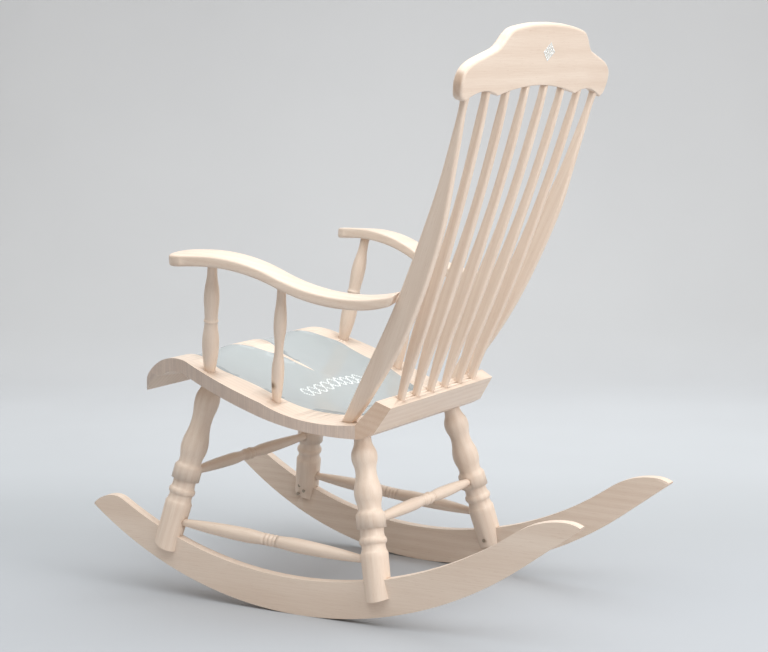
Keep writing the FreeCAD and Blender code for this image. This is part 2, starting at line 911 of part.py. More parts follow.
def seat_side():
    """Waste outside the seat's left edge, seen from above."""
    out = dims.seat_half_widest + dims.seat_thickness
    front = dims.seat_lip_y - dims.seat_thickness
    rear = dims.seat_rear_y + dims.seat_thickness
    corner = dims.seat_lip_corner
    waste = Outline(dims.seat_half_lip - corner * 2, front)
    waste.line(dims.seat_half_lip - corner * 2, dims.seat_lip_y)
    waste.line(dims.seat_half_lip - corner, dims.seat_lip_y)
    waste.bow(dims.seat_half_lip + corner / 8, dims.seat_lip_y + corner, corner / 4, 1)
    waste.line(dims.seat_half_front, dims.seat_front_y)
    waste.upright(dims.seat_half_widest, dims.seat_widest_y, 1)
    waste.upright(dims.seat_half_rear, dims.seat_rear_y, 1)
    waste.line(dims.seat_half_rear, rear)
    waste.line(out, rear).line(out, front)
    return waste.close()


# along the seat, out from the middle, half the width and the depth of a hollow
HOLLOW = [
    (dims.hollow_front_y, dims.hollow_front_offset, dims.hollow_front_half,
     dims.hollow_front_depth),
    (dims.seat_crest_y, dims.hollow_crest_offset, dims.hollow_crest_half,
     dims.hollow_crest_depth),
    (dims.hollow_slope_y, dims.hollow_slope_offset, dims.hollow_slope_half,
     dims.hollow_slope_depth),
    (dims.hollow_low_y, dims.hollow_low_offset, dims.hollow_low_half, dims.hollow_low_depth),
    (dims.hollow_rear_y, dims.hollow_rear_offset, dims.hollow_rear_half,
     dims.hollow_rear_depth),
]


def hollow_stations():
    """The named places along a hollow and one more halfway between each two."""
    stations = []
    for first, second in zip(HOLLOW, HOLLOW[1:]):
        stations += [first, tuple((a + b) / 2 for a, b in zip(first, second))]
    return stations + [HOLLOW[-1]]


def hollow(body, label):
    """One thigh's hollow: shallow arcs across the seat, swept from the lip to the back."""
    sections = []
    for step, (y, offset, half, depth) in enumerate(hollow_stations()):
        sketch = new_sketch(body, "XZ_Plane", f"{label}_section_{step}", -y)
        z = seat_height(y)
        outline = Outline(offset - half, z).bow(offset + half, z, depth, 1)
        outline.line(offset + half, z + dims.seat_thickness)
        outline.line(offset - half, z + dims.seat_thickness)
        draw(sketch, outline.close())
        sections.append(sketch)
    cutter = body.newObject("PartDesign::SubtractiveLoft", label)
    cutter.Profile = sections[0]
    cutter.Sections = sections[1:]
    return cutter


def make_seat():
    body = new_body("seat_blank")
    pad_outline(body, "YZ_Plane", seat_profile(), 2 * dims.seat_half_widest + dims.seat_thickness,
                "seat_slab")
    side_waste(body, "seat", seat_side())
    dish = hollow(body, "seat_hollow")
    return body, both_sides(body, "seat_hollows", [dish])


def make_rail():
    body = new_body("rail_blank")
    front = dims.seat_rear_y + dims.glue_line
    profile = Outline(front, dims.seat_rear_z - dims.seat_thickness)
    profile.line(dims.rail_toe_y, dims.rail_toe_z).line(dims.rail_heel_y, dims.rail_heel_z)
    profile.line(dims.rail_back_y, dims.rail_back_z).line(dims.rail_crest_y, dims.rail_crest_z)
    profile.line(front, dims.seat_rear_z)
    pad_outline(body, "YZ_Plane", profile.close(), 2 * dims.seat_half_rear, "rail_bar")
    out = dims.seat_half_rear + dims.rail_edge
    rear = dims.rail_back_y + dims.rail_edge
    waste = Outline(dims.seat_half_rear, dims.seat_rear_y).line(dims.rail_half_rear, rear)
    waste.line(out, rear).line(out, dims.seat_rear_y)
    return body, side_waste(body, "rail", waste.close())


# ---------------------------------------------------------------- turned arm spindles

def front_spindle_profile(top):
    """Lower belly, a raised ring, upper belly and a slim head."""
    ring = dims.front_spindle_ring
    ring_top = ring + dims.front_spindle_ring_width
    waist = dims.front_spindle_waist_radius
    profile = Outline(0, -dims.spindle_let_in)
    profile.line(dims.front_spindle_foot_radius, -dims.spindle_let_in)
    profile.line(dims.front_spindle_foot_radius, 0)
    profile.upright(dims.front_spindle_belly_radius, dims.front_spindle_belly, 1)
    profile.swell(waist, ring)
    profile.bow(waist, ring_top, dims.front_spindle_ring_radius - waist, 1)
    profile.swell(dims.front_spindle_head_belly_radius, dims.front_spindle_head_belly)
    profile.swell(dims.front_spindle_head_radius, top - dims.spindle_let_in)
    profile.line(dims.front_spindle_head_radius, top + dims.spindle_let_in)
    return profile.line(0, top + dims.spindle_let_in).close()


def middle_spindle_profile(top):
    """Two slim bellies with a waist between them."""
    head = dims.middle_spindle_head_radius
    profile = Outline(0, -dims.spindle_let_in)
    profile.line(dims.middle_spindle_foot_radius, -dims.spindle_let_in)
    profile.line(dims.middle_spindle_foot_radius, 0)
    profile.upright(dims.middle_spindle_belly_radius, dims.middle_spindle_belly, 1)
    profile.swell(dims.middle_spindle_waist_radius, dims.middle_spindle_waist)
    profile.swell(dims.middle_spindle_head_belly_radius, dims.middle_spindle_head_belly)
    profile.swell(head, top - dims.spindle_let_in)
    profile.line(head, top + dims.spindle_let_in)
    return profile.line(0, top + dims.spindle_let_in).close()


SPINDLES = {
    "front": {"x": dims.front_spindle_x, "y": dims.front_spindle_y,
              "splay": dims.front_spindle_splay, "rake": dims.front_spindle_rake,
              "foot_radius": dims.front_spindle_foot_radius,
              "head_radius": dims.front_spindle_head_radius, "profile": front_spindle_profile},
    "middle": {"x": dims.middle_spindle_x, "y": dims.middle_spindle_y,
               "splay": dims.middle_spindle_splay, "rake": dims.middle_spindle_rake,
               "foot_radius": dims.middle_spindle_foot_radius,
               "head_radius": dims.middle_spindle_head_radius,
               "profile": middle_spindle_profile},
}


def spindle_head(spindle):
    """Where a spindle meets the arm's underside, on the chair's left."""
    foot_z = seat_top(spindle["y"])
    guess = spindle["y"] + (arm_under(spindle["y"]) - foot_z) * tangent(spindle["rake"])
    head_z = arm_under(guess)
    head_y = spindle["y"] + (head_z - foot_z) * tangent(spindle["rake"])
    head_x = spindle["x"] + (head_z - foot_z) * tangent(spindle["splay"])
    return head_x, head_y, head_z


def make_spindle(name, spindle, side):
    """One arm spindle with the drill for both its ends."""
    foot = [spindle["x"] * side, spindle["y"], seat_top(spindle["y"])]
    head_x, head_y, head_z = spindle_head(spindle)
    axis = between(foot, [head_x * side, head_y, head_z])
    top = distance(foot, [head_x * side, head_y, head_z])
    body = turn(name, spindle["profile"](top))
    axis.place(body)
    let_in = dims.spindle_let_in
    foot_drill = bore(f"{name}_foot_drill", axis, -let_in - dims.joint_gap, let_in,
                      spindle["foot_radius"])
    head_drill = bore(f"{name}_head_drill", axis, top - let_in, top + let_in + dims.joint_gap,
                      spindle["head_radius"])
    return body, foot_drill, head_drill


# ---------------------------------------------------------------- arms

arm_crest_z = dims.arm_front_z + dims.arm_crest_rise
arm_dip_z = arm_crest_z - dims.arm_dip_fall
arm_rear_z = arm_dip_z + dims.arm_rear_rise


def arm_bend():
    """Sum of the two radii of an arm's crest and dip."""
    run, fall = dims.arm_dip - dims.arm_crest, dims.arm_dip_fall
    return (run * run + fall * fall) / (2 * fall)


def arm_under(y):
    """Height of an arm's underside."""
    turn_y = dims.arm_crest + (dims.arm_dip - dims.arm_crest) * dims.arm_crest_share
    if number(y) < number(turn_y):
        drop = circle_rise(arm_bend() * dims.arm_crest_share, y - dims.arm_crest)
        return arm_crest_z - dims.arm_thickness - drop
    rise = circle_rise(arm_bend() * (1 - dims.arm_crest_share), dims.arm_dip - y)
    return arm_dip_z - dims.arm_thickness + rise


def arm_profile():
    """Side of an arm about its middle height: a roll over the front and a dip before the post."""
    thick = dims.arm_thickness
    half_fall = dims.arm_dip_fall / 2
    front, dip, rear = [y - dims.arm_crest for y in (dims.arm_front, dims.arm_dip, dims.arm_rear)]
    front_z = half_fall - dims.arm_crest_rise
    rear_z = dims.arm_rear_rise - half_fall
    profile = Outline(front, front_z)
    profile.level(0, half_fall, -1)
    profile.wave(dip, -half_fall, dims.arm_crest_share)
    profile.level(rear, rear_z, 1)
    profile.line(rear - dims.arm_rear_lean, rear_z - thick)
    profile.level(dip, -half_fall - thick, -1)
    profile.wave(0, half_fall - thick, 1 - dims.arm_crest_share)
    profile.level(front, front_z - thick, 1)
    return profile.close()


def arm_plan():
    """Outline of an arm from above: round in front, narrower at the post."""
    half, narrow = dims.arm_half_width, dims.arm_half_rear
    front = dims.arm_front - dims.arm_crest
    rear = dims.arm_rear - dims.arm_crest + dims.arm_thickness
    plan = Outline(0, front).arc(half, front + half, half, 1).line(narrow, rear)
    plan.line(-narrow, rear).line(-half, front + half).arc(0, front, half, 1)
    return plan


def arm_frame():
    out = 2 * dims.arm_half_width
    front = dims.arm_front - dims.arm_crest - dims.arm_half_width
    rear = dims.arm_rear - dims.arm_crest + out
    return Outline(-out, front).line(out, front).line(out, rear).line(-out, rear).close()


def make_arm(name, side):
    body = new_body(f"{name}_blank")
    pad_outline(body, "YZ_Plane", arm_profile(), 2 * dims.arm_half_width, f"{name}_slab")
    sketch = new_sketch(body, "XY_Plane", f"{name}_plan")
    draw(sketch, arm_frame())
    draw(sketch, arm_plan())
    pocket = body.newObject("PartDesign::Pocket", f"{name}_sawn")
    pocket.Profile = sketch
    pocket.Type = "ThroughAll"
    pocket.Midplane = True
    rear = number(dims.arm_rear - dims.arm_crest - dims.arm_rear_lean)
    soften(body, f"{name}_eased", pocket, dims.arm_edge,
           lambda edge: not along(edge, "z") and middle(edge).y < rear - 1)
    head_x, head_y, _ = spindle_head(SPINDLES["front"])
    slew = (head_x + dims.arm_overhang - post_x(arm_rear_z)) / (dims.arm_rear - head_y)
    crest_x = post_x(arm_rear_z) + (dims.arm_rear - dims.arm_crest) * slew
    roll = FreeCAD.Rotation(FreeCAD.Vector(0, 1, 0), number(dims.arm_roll) * side)
    turning = about_z(math.degrees(math.atan(number(slew))) * side) * roll
    middle_z = (arm_crest_z + arm_dip_z) / 2
    settle(body, [crest_x * side, dims.arm_crest, middle_z], turning)
    return body


# ---------------------------------------------------------------- back posts and spindles

def fan(place, z):
    """Distance from the chair's middle of the back's member at a place, counted in pitches."""
    share = (z - dims.back_foot_z) / (dims.back_head_z - dims.back_foot_z)
    pitch = dims.back_pitch_foot + (dims.back_pitch_head - dims.back_pitch_foot) * share
    return pitch * place


def post_place():
    return (dims.back_members - 1) / 2


def post_x(z):
    return fan(post_place(), z)


def post_stations():
    thick = dims.post_thickness
    return [
        (dims.post_foot_z, dims.post_foot_y, thick, dims.post_foot_depth),
        (dims.post_low_z, dims.post_low_y, thick, dims.post_low_depth),
        (dims.post_shin_z, dims.post_shin_y, thick, dims.post_shin_depth),
        (dims.post_arm_z, dims.post_arm_y, thick, dims.post_arm_depth),
        (dims.post_high_z, dims.post_high_y, thick, dims.post_high_depth),
        (dims.post_neck_z, dims.post_neck_y, thick, dims.post_neck_depth),
        (dims.post_throat_z, dims.post_throat_y, dims.post_throat_thickness,
         dims.post_throat_depth),
        (dims.post_nape_z, dims.post_nape_y, dims.post_nape_thickness, dims.post_nape_depth),
        (dims.post_collar_z, dims.post_collar_y, dims.post_collar_thickness,
         dims.post_collar_depth),
        (dims.back_head_z, dims.back_head_y, dims.post_head_thickness, dims.post_head_depth),
    ]


def spindle_stations():
    thick, end_thick = dims.back_spindle_thickness, dims.back_spindle_end_thickness
    return [
        (dims.back_spindle_foot_z, dims.back_spindle_foot_y, end_thick,
         dims.back_spindle_foot_depth),
        (dims.back_spindle_ankle_z, dims.back_spindle_ankle_y, thick,
         dims.back_spindle_ankle_depth),
        (dims.back_spindle_low_z, dims.back_spindle_low_y, thick, dims.back_spindle_low_depth),
        (dims.back_spindle_waist_z, dims.back_spindle_waist_y, thick,
         dims.back_spindle_waist_depth),
        (dims.back_spindle_high_z, dims.back_spindle_high_y, thick,
         dims.back_spindle_high_depth),
        (dims.back_spindle_neck_z, dims.back_spindle_neck_y, thick,
         dims.back_spindle_neck_depth),
        (dims.back_head_z, dims.back_head_y, end_thick, dims.back_spindle_head_depth),
    ]


def slat_section(place, station, corner, grow=0):
    """A level section of a back member, with its height."""
    z, y, width, depth = station
    return z, rounded(fan(place, z), y, width + 2 * grow, depth + 2 * grow, corner + grow)


def moved(station, rise, drift):
    """The same section higher up and further back."""
    return (station[0] + rise, station[1] + drift) + station[2:]


def make_back_member(name, place, stations, corner, foot_let_in, foot_lean):
    """A member that follows the back's curve, with straight tenons, and a tool for each socket."""
    gap = dims.joint_gap
    foot_drift = foot_let_in * foot_lean
    head_rise = dims.back_let_in
    head_drift = head_rise * tangent(dims.crest_lean)
    foot, head = stations[0], stations[-1]
    foot_end = moved(foot, -foot_let_in, -foot_drift)
    head_end = moved(head, head_rise, head_drift)

    def section(station, grow=0):
        return slat_section(place, station, corner, grow)

    body = new_body(name)
    loft(body, f"{name}_curve", [section(station) for station in stations])
    loft(body, f"{name}_foot", [section(foot_end), section(foot)], True)
    loft(body, f"{name}_head", [section(head), section(head_end)], True)

    foot_tool = new_body(f"{name}_foot_socket")
    deep = moved(foot, -foot_let_in - gap, -foot_drift)
    high = moved(foot, foot_let_in, foot_drift)
    loft(foot_tool, f"{name}_foot_room", [section(deep, gap), section(high, gap)], True)

    head_tool = new_body(f"{name}_head_socket")
    deep = moved(head, head_rise + gap, head_drift)
    loft(head_tool, f"{name}_head_room", [section(head, gap), section(deep, gap)], True)
    return body, foot_tool, head_tool


# ---------------------------------------------------------------- crest rail

def crest_half():
    """Left half of the crest rail's outline: lobes at the ends, a step and a raised middle."""
    half = dims.crest_half_width
    low, high = dims.crest_end_low, dims.crest_end_high
    outline = Outline(0, dims.crest_arch_rise)
    outline.level(dims.crest_cusp_x, dims.crest_cusp_rise, -1)
    outline.bow(dims.crest_lobe_x, 0, dims.crest_scallop, -1)
    outline.level(half, low, 1)
    outline.line(half, high)
    outline.upright(dims.crest_shoulder_x, dims.crest_shoulder_rise, 1)
    outline.line(dims.crest_slope_x, dims.crest_slope_rise)
    outline.bow(dims.crest_step_x, dims.crest_step_rise, dims.crest_step_hollow, -1)
    outline.bow(dims.crest_crown_x, dims.crest_crown_rise, dims.crest_step_hollow, 1)
    outline.level(0, dims.crest_height, 1)
    return outline.close()


def make_crest():
    body = new_body("crest_blank")
    pad = pad_outline(body, "XZ_Plane", crest_half(), dims.crest_thickness, "crest_board")
    whole = both_sides(body, "crest_whole", [pad])
    corners = soften(body, "crest_corners", whole, dims.crest_corner,
                     lambda edge: along(edge, "y") and abs(middle(edge).x) > 1)
    soften(body, "crest_eased", corners, dims.crest_edge, lambda edge: not along(edge, "y"))
    settle(body, [0, dims.back_head_y, dims.back_head_z],
           FreeCAD.Rotation(FreeCAD.Vector(1, 0, 0), -number(dims.crest_lean)))
    return body


# ---------------------------------------------------------------- screws in the feet

# how far over the leg's crossing point, and how far behind it, each screw sits
SCREW_SPOTS = {
    "front": [(-dims.screw_spacing, -dims.screw_spacing / 2), (-dims.screw_spacing / 2,
              dims.screw_spacing / 2), (dims.screw_spacing / 4, -dims.screw_spacing / 4)],
    "rear": [(-dims.screw_spacing / 4, 0)],
}


def screw_axis(leg, side, step, offset):
    """A screw points outwards from the inner cheek of a foot, square to the runner."""
    across = runner_x(leg["y"], side)
    start = [across - dims.leg_barrel_radius * side, leg["y"] + offset, leg["z"] + step]
    return Axis(start, [Size("1", 1) * side, tangent(dims.runner_toe), Size("0", 0)])


def make_screw(name, axis, grow=0):
    """A countersunk screw or, grown by the joint gap, the room that it needs."""
    head = doc.addObject("Part::Cone", f"{name}_head")
    shank = doc.addObject("Part::Cylinder", f"{name}_shank")
    sizes = {"Radius1": dims.screw_head_radius + grow, "Radius2": dims.screw_shank_radius + grow,
             "Height": dims.screw_head_depth + grow}
    for prop, size in sizes.items():
        bind(head, prop, size)
        setattr(head, prop, number(size))
    for prop, size in {"Radius": sizes["Radius2"], "Height": dims.screw_length + grow}.items():
        bind(shank, prop, size)
        setattr(shank, prop, number(size))
    axis.place(head)
    axis.place(shank)
    screw = doc.addObject("Part::Fuse", name)
    screw.Base = head
    screw.Tool = shank
    return screw


# ---------------------------------------------------------------- putting the chair together

def cut(label, blank, tools):
    """One finished piece: its blank less the tools."""
    tool = tools[0]
    if len(tools) > 1:
        tool = doc.addObject("Part::MultiFuse", f"{label}_tools")
        tool.Shapes = tools
    piece = doc.addObject("Part::Cut", label)
    piece.Label = label
    piece.Base = blank
    piece.Tool = tool
    return piece


pieces = []
screws = []
leg_drills = {(end, name): [] for end in LEGS for name in SIDES}
seat_tools = []
rail_tools = []
crest_tools = []

runner_screw_tools = {name: [] for name in SIDES}
bead = dims.leg_bead
axes = {(end, name): leg_axis(leg, side) for end, leg in LEGS.items()
        for name, side in SIDES.items()}

for name, side in SIDES.items():
    front = axes["front", name].at(bead + dims.side_stretcher_front)
    rear = axes["rear", name].at(bead + dims.side_stretcher_rear)
    stretcher, drill = make_stretcher(
        f"stretcher_side_{name}", front, rear, dims.side_stretcher_belly,
        dims.side_stretcher_belly_radius, dims.side_stretcher_middle_radius, 3)
    pieces.append(stretcher)
    leg_drills["front", name].append(drill)
    leg_drills["rear", name].append(drill)

for end in LEGS:
    left, right = [axes[end, name].at(bead + dims.cross_stretcher_step) for name in SIDES]
    stretcher, drill = make_stretcher(
        f"stretcher_{end}", left, right, dims.cross_stretcher_belly,
        dims.cross_stretcher_belly_radius, dims.cross_stretcher_middle_radius, 2)
    pieces.append(stretcher)
    for name in SIDES:
        leg_drills[end, name].append(drill)

for name, side in SIDES.items():
    slot = foot_tool(f"foot_slot_{name}", side, dims.runner_top_radius - dims.joint_gap,
                     dims.runner_top_middle, dims.runner_depth + dims.runner_top_radius,
                     dims.runner_thickness + 2 * dims.joint_gap)
    foot_end = foot_tool(f"foot_end_{name}", side,
                         dims.runner_radius - dims.foot_end_rise, dims.runner_contact,
                         dims.runner_radius, 4 * dims.leg_collar_radius)
    for end, leg in LEGS.items():
        screw_tools = []
        for index, (step, offset) in enumerate(SCREW_SPOTS[end], start=1):
            axis = screw_axis(leg, side, step, offset)
            screws.append(make_screw(f"screw_{end}_{name}_{index}", axis))
            room = make_screw(f"screw_room_{end}_{name}_{index}", axis, dims.joint_gap)
            screw_tools.append(room)
        runner_screw_tools[name] += screw_tools
        blank = turn(f"leg_{end}_{name}_blank", leg_profile(leg))
        axes[end, name].place(blank)
        tools = [slot, foot_end] + leg_drills[end, name] + screw_tools
        pieces.append(cut(f"leg_{end}_{name}", blank, tools))
        seat_tools.append(bore(f"seat_socket_{end}_{name}", axes[end, name], bead + leg["neck"],
                               bead + leg["seat"] + dims.leg_let_in + dims.joint_gap,
                               leg["neck_radius"]))
    pieces.append(cut(f"runner_{name}", make_runner(f"runner_{name}", side),
                      runner_screw_tools[name]))

for name, side in SIDES.items():
    arm_tools = []
    for place, spindle in SPINDLES.items():
        body, foot_drill, head_drill = make_spindle(f"arm_spindle_{place}_{name}", spindle, side)
        pieces.append(body)
        seat_tools.append(foot_drill)
        arm_tools.append(head_drill)
    post, foot_tool_body, head_tool_body = make_back_member(
        f"back_post_{name}", post_place() * side, post_stations(), dims.post_corner,
        dims.post_let_in, dims.post_let_in_lean)
    pieces.append(post)
    seat_tools.append(foot_tool_body)
    crest_tools.append(head_tool_body)
    pieces.append(cut(f"arm_{name}", make_arm(f"arm_{name}", side), arm_tools + [post]))

for index in range(1, int(number(dims.back_members)) - 1):
    body, foot_tool_body, head_tool_body = make_back_member(
        f"back_spindle_{index}", index - post_place(), spindle_stations(),
        dims.back_spindle_corner, dims.back_spindle_let_in, dims.back_spindle_let_in_lean)
    pieces.append(body)
    rail_tools.append(foot_tool_body)
    crest_tools.append(head_tool_body)

seat_blank, seat_dished = make_seat()
rail_blank, rail_sawn = make_rail()
pieces.append(cut("seat_board", seat_blank, seat_tools))
pieces.append(cut("seat_rail", rail_blank, rail_tools))
pieces.append(cut("crest_rail", make_crest(), crest_tools))

foot_screws = doc.addObject("Part::Compound", "foot_screws")
foot_screws.Label = "foot_screws"
foot_screws.Links = screws
pieces.append(foot_screws)

doc.recompute()

for item in doc.Objects:
    if "Invalid" in item.State or "Error" in item.State:
        raise RuntimeError(f"{item.Label} did not build: {item.State}")

os.makedirs("parts", exist_ok=True)
for piece in pieces:
    shape = piece.Shape
    if shape.isNull() or not shape.isValid():
        raise RuntimeError(f"{piece.Label} has no valid solid")
    shape.exportStep(f"parts/{piece.Label}.step")
    print(piece.Label, len(shape.Solids), round(shape.Volume / 1000))
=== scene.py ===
import math

import bmesh
import bpy
import numpy as np
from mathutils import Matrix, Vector


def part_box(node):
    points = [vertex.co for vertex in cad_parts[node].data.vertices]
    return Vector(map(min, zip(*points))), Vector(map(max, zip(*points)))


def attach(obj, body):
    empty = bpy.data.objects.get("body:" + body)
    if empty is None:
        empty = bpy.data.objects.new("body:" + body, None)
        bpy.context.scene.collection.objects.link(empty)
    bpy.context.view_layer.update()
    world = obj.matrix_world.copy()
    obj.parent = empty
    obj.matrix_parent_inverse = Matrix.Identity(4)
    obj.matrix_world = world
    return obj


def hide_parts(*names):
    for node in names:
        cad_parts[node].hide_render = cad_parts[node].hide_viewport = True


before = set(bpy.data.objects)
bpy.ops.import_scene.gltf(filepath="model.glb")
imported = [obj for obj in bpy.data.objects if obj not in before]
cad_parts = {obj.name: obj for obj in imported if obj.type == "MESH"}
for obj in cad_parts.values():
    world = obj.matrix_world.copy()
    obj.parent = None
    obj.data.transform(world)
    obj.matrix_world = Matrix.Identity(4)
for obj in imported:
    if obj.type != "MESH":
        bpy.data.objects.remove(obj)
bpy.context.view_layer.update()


# meshes: new pieces are surfaces worked out on grids

def put(name, points, faces, body="root"):
    mesh = bpy.data.meshes.new(name)
    mesh.from_pydata(points.reshape(-1, 3).tolist(), [], faces)
    mesh.update()
    piece = bpy.data.objects.new(name, mesh)
    bpy.context.scene.collection.objects.link(piece)
    if body:
        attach(piece, body)
    return piece


def gridFaces(rows, columns):
    # quads between neighbouring rows and columns of an open sheet
    i, j = np.meshgrid(np.arange(rows - 1), np.arange(columns - 1), indexing="ij")
    quads = np.stack([i * columns + j, (i + 1) * columns + j,
                      (i + 1) * columns + j + 1, i * columns + j + 1], -1)
    return quads.reshape(-1, 4).tolist()


def ringFaces(rings, count):
    # quads between neighbouring closed rings of as many points each
    i, j = np.meshgrid(np.arange(rings - 1), np.arange(count), indexing="ij")
    n = (j + 1) % count
    quads = np.stack([i * count + j, i * count + n, (i + 1) * count + n, (i + 1) * count + j], -1)
    return quads.reshape(-1, 4).tolist()


def sharpen(piece, degrees=32):
    piece.data.shade_smooth()
    piece.data.set_sharp_from_angle(angle=math.radians(degrees))


# nodes

def newGroup(name, inputs, outputs):
    group = bpy.data.node_groups.new(name, "ShaderNodeTree")
    for label, kind, value in inputs:
        socket = group.interface.new_socket(name=label, in_out="INPUT", socket_type=kind)
        if value is not None:
            socket.default_value = value
    for label, kind in outputs:
        group.interface.new_socket(name=label, in_out="OUTPUT", socket_type=kind)
    return group, group.nodes.new("NodeGroupInput"), group.nodes.new("NodeGroupOutput")


def noise(tree, vector, scale, detail=2.0, rough=0.5):
    node = tree.nodes.new("ShaderNodeTexNoise")
    node.inputs["Scale"].default_value = scale
    node.inputs["Detail"].default_value = detail
    node.inputs["Roughness"].default_value = rough
    tree.links.new(vector, node.inputs["Vector"])
    return node.outputs["Fac"]


def stretch(tree, vector, scale):
    node = tree.nodes.new("ShaderNodeMapping")
    node.inputs["Scale"].default_value = scale
    tree.links.new(vector, node.inputs["Vector"])
    return node.outputs["Vector"]


def remap(tree, value, low, high, toLow=0.0, toHigh=1.0, smooth=False):
    node = tree.nodes.new("ShaderNodeMapRange")
    node.interpolation_type = "SMOOTHSTEP" if smooth else "LINEAR"
    for label, number in (("From Min", low), ("From Max", high), ("To Min", toLow), ("To Max", toHigh)):
        node.inputs[label].default_value = number
    tree.links.new(value, node.inputs["Value"])
    return node.outputs["Result"]


def calc(tree, operation, a, b=0.0):
    node = tree.nodes.new("ShaderNodeMath")
    node.operation = operation
    for socket, value in zip(node.inputs, (a, b)):
        if isinstance(value, (int, float)):
            socket.default_value = value
        else:
            tree.links.new(value, socket)
    return node.outputs[0]


def blend(tree, factor, a, b, kind="RGBA"):
    node = tree.nodes.new("ShaderNodeMix")
    node.data_type = kind
    ending = "Color" if kind == "RGBA" else "Float"
    for label, value in (("Factor_Float", factor), ("A_" + ending, a), ("B_" + ending, b)):
        socket = next(s for s in node.inputs if s.identifier == label)
        if isinstance(value, (int, float, tuple)):
            socket.default_value = value
        else:
            tree.links.new(value, socket)
    return next(s for s in node.outputs if s.identifier == "Result_" + ending)


def readAttribute(tree, name, output="Fac"):
    node = tree.nodes.new("ShaderNodeAttribute")
    node.attribute_name = name
    return node.outputs[output]


def tint(colour, factor):
    return tuple(c * factor for c in colour[:3]) + (1,)


# wood: each piece carries its own grain coordinates, so the fibres follow the way it was cut

birch = {"light": (0.860, 0.720, 0.605, 1), "dark": (0.630, 0.452, 0.335, 1), "contrast": 0.9,
         "roughLow": 0.36, "roughHigh": 0.48, "fibreHeight": 0.00012, "bumpStrength": 0.6,
         # cells per metre along the grain and the two ways across it
         "fibres": (12, 560, 560), "pores": (55, 780, 780), "patches": (4, 16, 16),
         "drift": (1.6, 9, 9), "layers": (0.12, 1, 1), "layerScale": 24, "layerWarp": 3.4,
         # how much each of them darkens the wood, and the sawn ends too
         "layerShade": 0.30, "fibreShade": 0.44, "poreShade": 0.55, "patchShade": 0.34,
         "driftShade": 0.2, "endShade": 1.1, "poreDepth": 0.8}


def grainAlong(piece, start, end, turn=0.0, seed=0):
    # grain = (distance along the piece, and the two distances across it), shifted for each piece
    mesh = piece.data
    points = np.zeros(len(mesh.vertices) * 3)
    mesh.vertices.foreach_get("co", points)
    way = np.subtract(end, start)
    way = way / np.linalg.norm(way)
    side = np.cross(way, [0, 0, 1] if abs(way[2]) < 0.8 else [1, 0, 0])
    side = side / np.linalg.norm(side)
    other = np.cross(way, side)
    c, s = math.cos(turn), math.sin(turn)
    side, other = side * c + other * s, other * c - side * s
    shift = np.random.default_rng(seed).uniform(-3, 3, 3)
    local = points.reshape(-1, 3) - np.asarray(start)
    grain = np.stack([local @ way, local @ side, local @ other], -1) + shift * [1, 0.2, 0.2]
    mesh.attributes.new("grain", "FLOAT_VECTOR", "POINT").data.foreach_set(
        "vector", grain.astype(np.float32).ravel())
    facing = np.zeros(len(mesh.loops) * 3)      # each corner's own normal keeps sharp edges clean
    mesh.corner_normals.foreach_get("vector", facing)
    facing = facing.reshape(-1, 3)
    cut = np.clip((np.abs(facing @ way) - 0.8) * 6, 0, 1)
    mesh.attributes.new("endGrain", "FLOAT", "CORNER").data.foreach_set(
        "value", cut.astype(np.float32))
    mesh.attributes.new("upward", "FLOAT", "CORNER").data.foreach_set(
        "value", facing[:, 2].astype(np.float32))


def birchGroup():
    # growth layers round a heart beside the plank, then fibres, short pores and cloudy patches
    group, enter, leave = newGroup("birchGrain", [
        ("Grain", "NodeSocketVector", None),
        ("End Grain", "NodeSocketFloat", 0.0),
        ("Light", "NodeSocketColor", birch["light"]),
        ("Dark", "NodeSocketColor", birch["dark"]),
        ("Contrast", "NodeSocketFloat", birch["contrast"])],
        [("Color", "NodeSocketColor"), ("Height", "NodeSocketFloat"), ("Dull", "NodeSocketFloat")])
    grain = enter.outputs["Grain"]
    layers = group.nodes.new("ShaderNodeTexWave")
    layers.wave_type = "RINGS"
    layers.rings_direction = "X"
    layers.inputs["Scale"].default_value = birch["layerScale"]
    layers.inputs["Distortion"].default_value = birch["layerWarp"]
    layers.inputs["Detail"].default_value = 2
    layers.inputs["Detail Scale"].default_value = 0.7
    group.links.new(stretch(group, grain, birch["layers"]), layers.inputs["Vector"])
    drift = noise(group, stretch(group, grain, birch["drift"]), 1.0, 3.0)
    fibres = noise(group, stretch(group, grain, birch["fibres"]), 1.0, 3.0, 0.62)
    pores = noise(group, stretch(group, grain, birch["pores"]), 1.0, 1.0)
    patches = noise(group, stretch(group, grain, birch["patches"]), 1.0, 2.0)
    pore = remap(group, pores, 0.64, 0.76, 0.0, birch["poreShade"])
    shade = calc(group, "ADD", remap(group, layers.outputs["Fac"], 0.15, 1.0, 0.0, birch["layerShade"]),
                 remap(group, fibres, 0.35, 0.75, 0.0, birch["fibreShade"]))
    shade = calc(group, "ADD", shade, pore)
    shade = calc(group, "ADD", shade, remap(group, patches, 0.3, 0.75, 0.0, birch["patchShade"]))
    shade = calc(group, "ADD", shade, calc(group, "MULTIPLY", drift, birch["driftShade"]))
    shade = calc(group, "MULTIPLY", shade, enter.outputs["Contrast"])
    cut = calc(group, "MULTIPLY", enter.outputs["End Grain"], birch["endShade"])
    shade = calc(group, "ADD", shade, cut)
    colour = blend(group, remap(group, shade, 0.1, 1.8), enter.outputs["Light"], enter.outputs["Dark"])
    group.links.new(colour, leave.inputs["Color"])
    depth = calc(group, "MULTIPLY", pore, birch["poreDepth"])
    group.links.new(calc(group, "SUBTRACT", fibres, depth), leave.inputs["Height"])
    group.links.new(remap(group, fibres, 0.3, 0.8), leave.inputs["Dull"])
    return group


grainGroup = birchGroup()


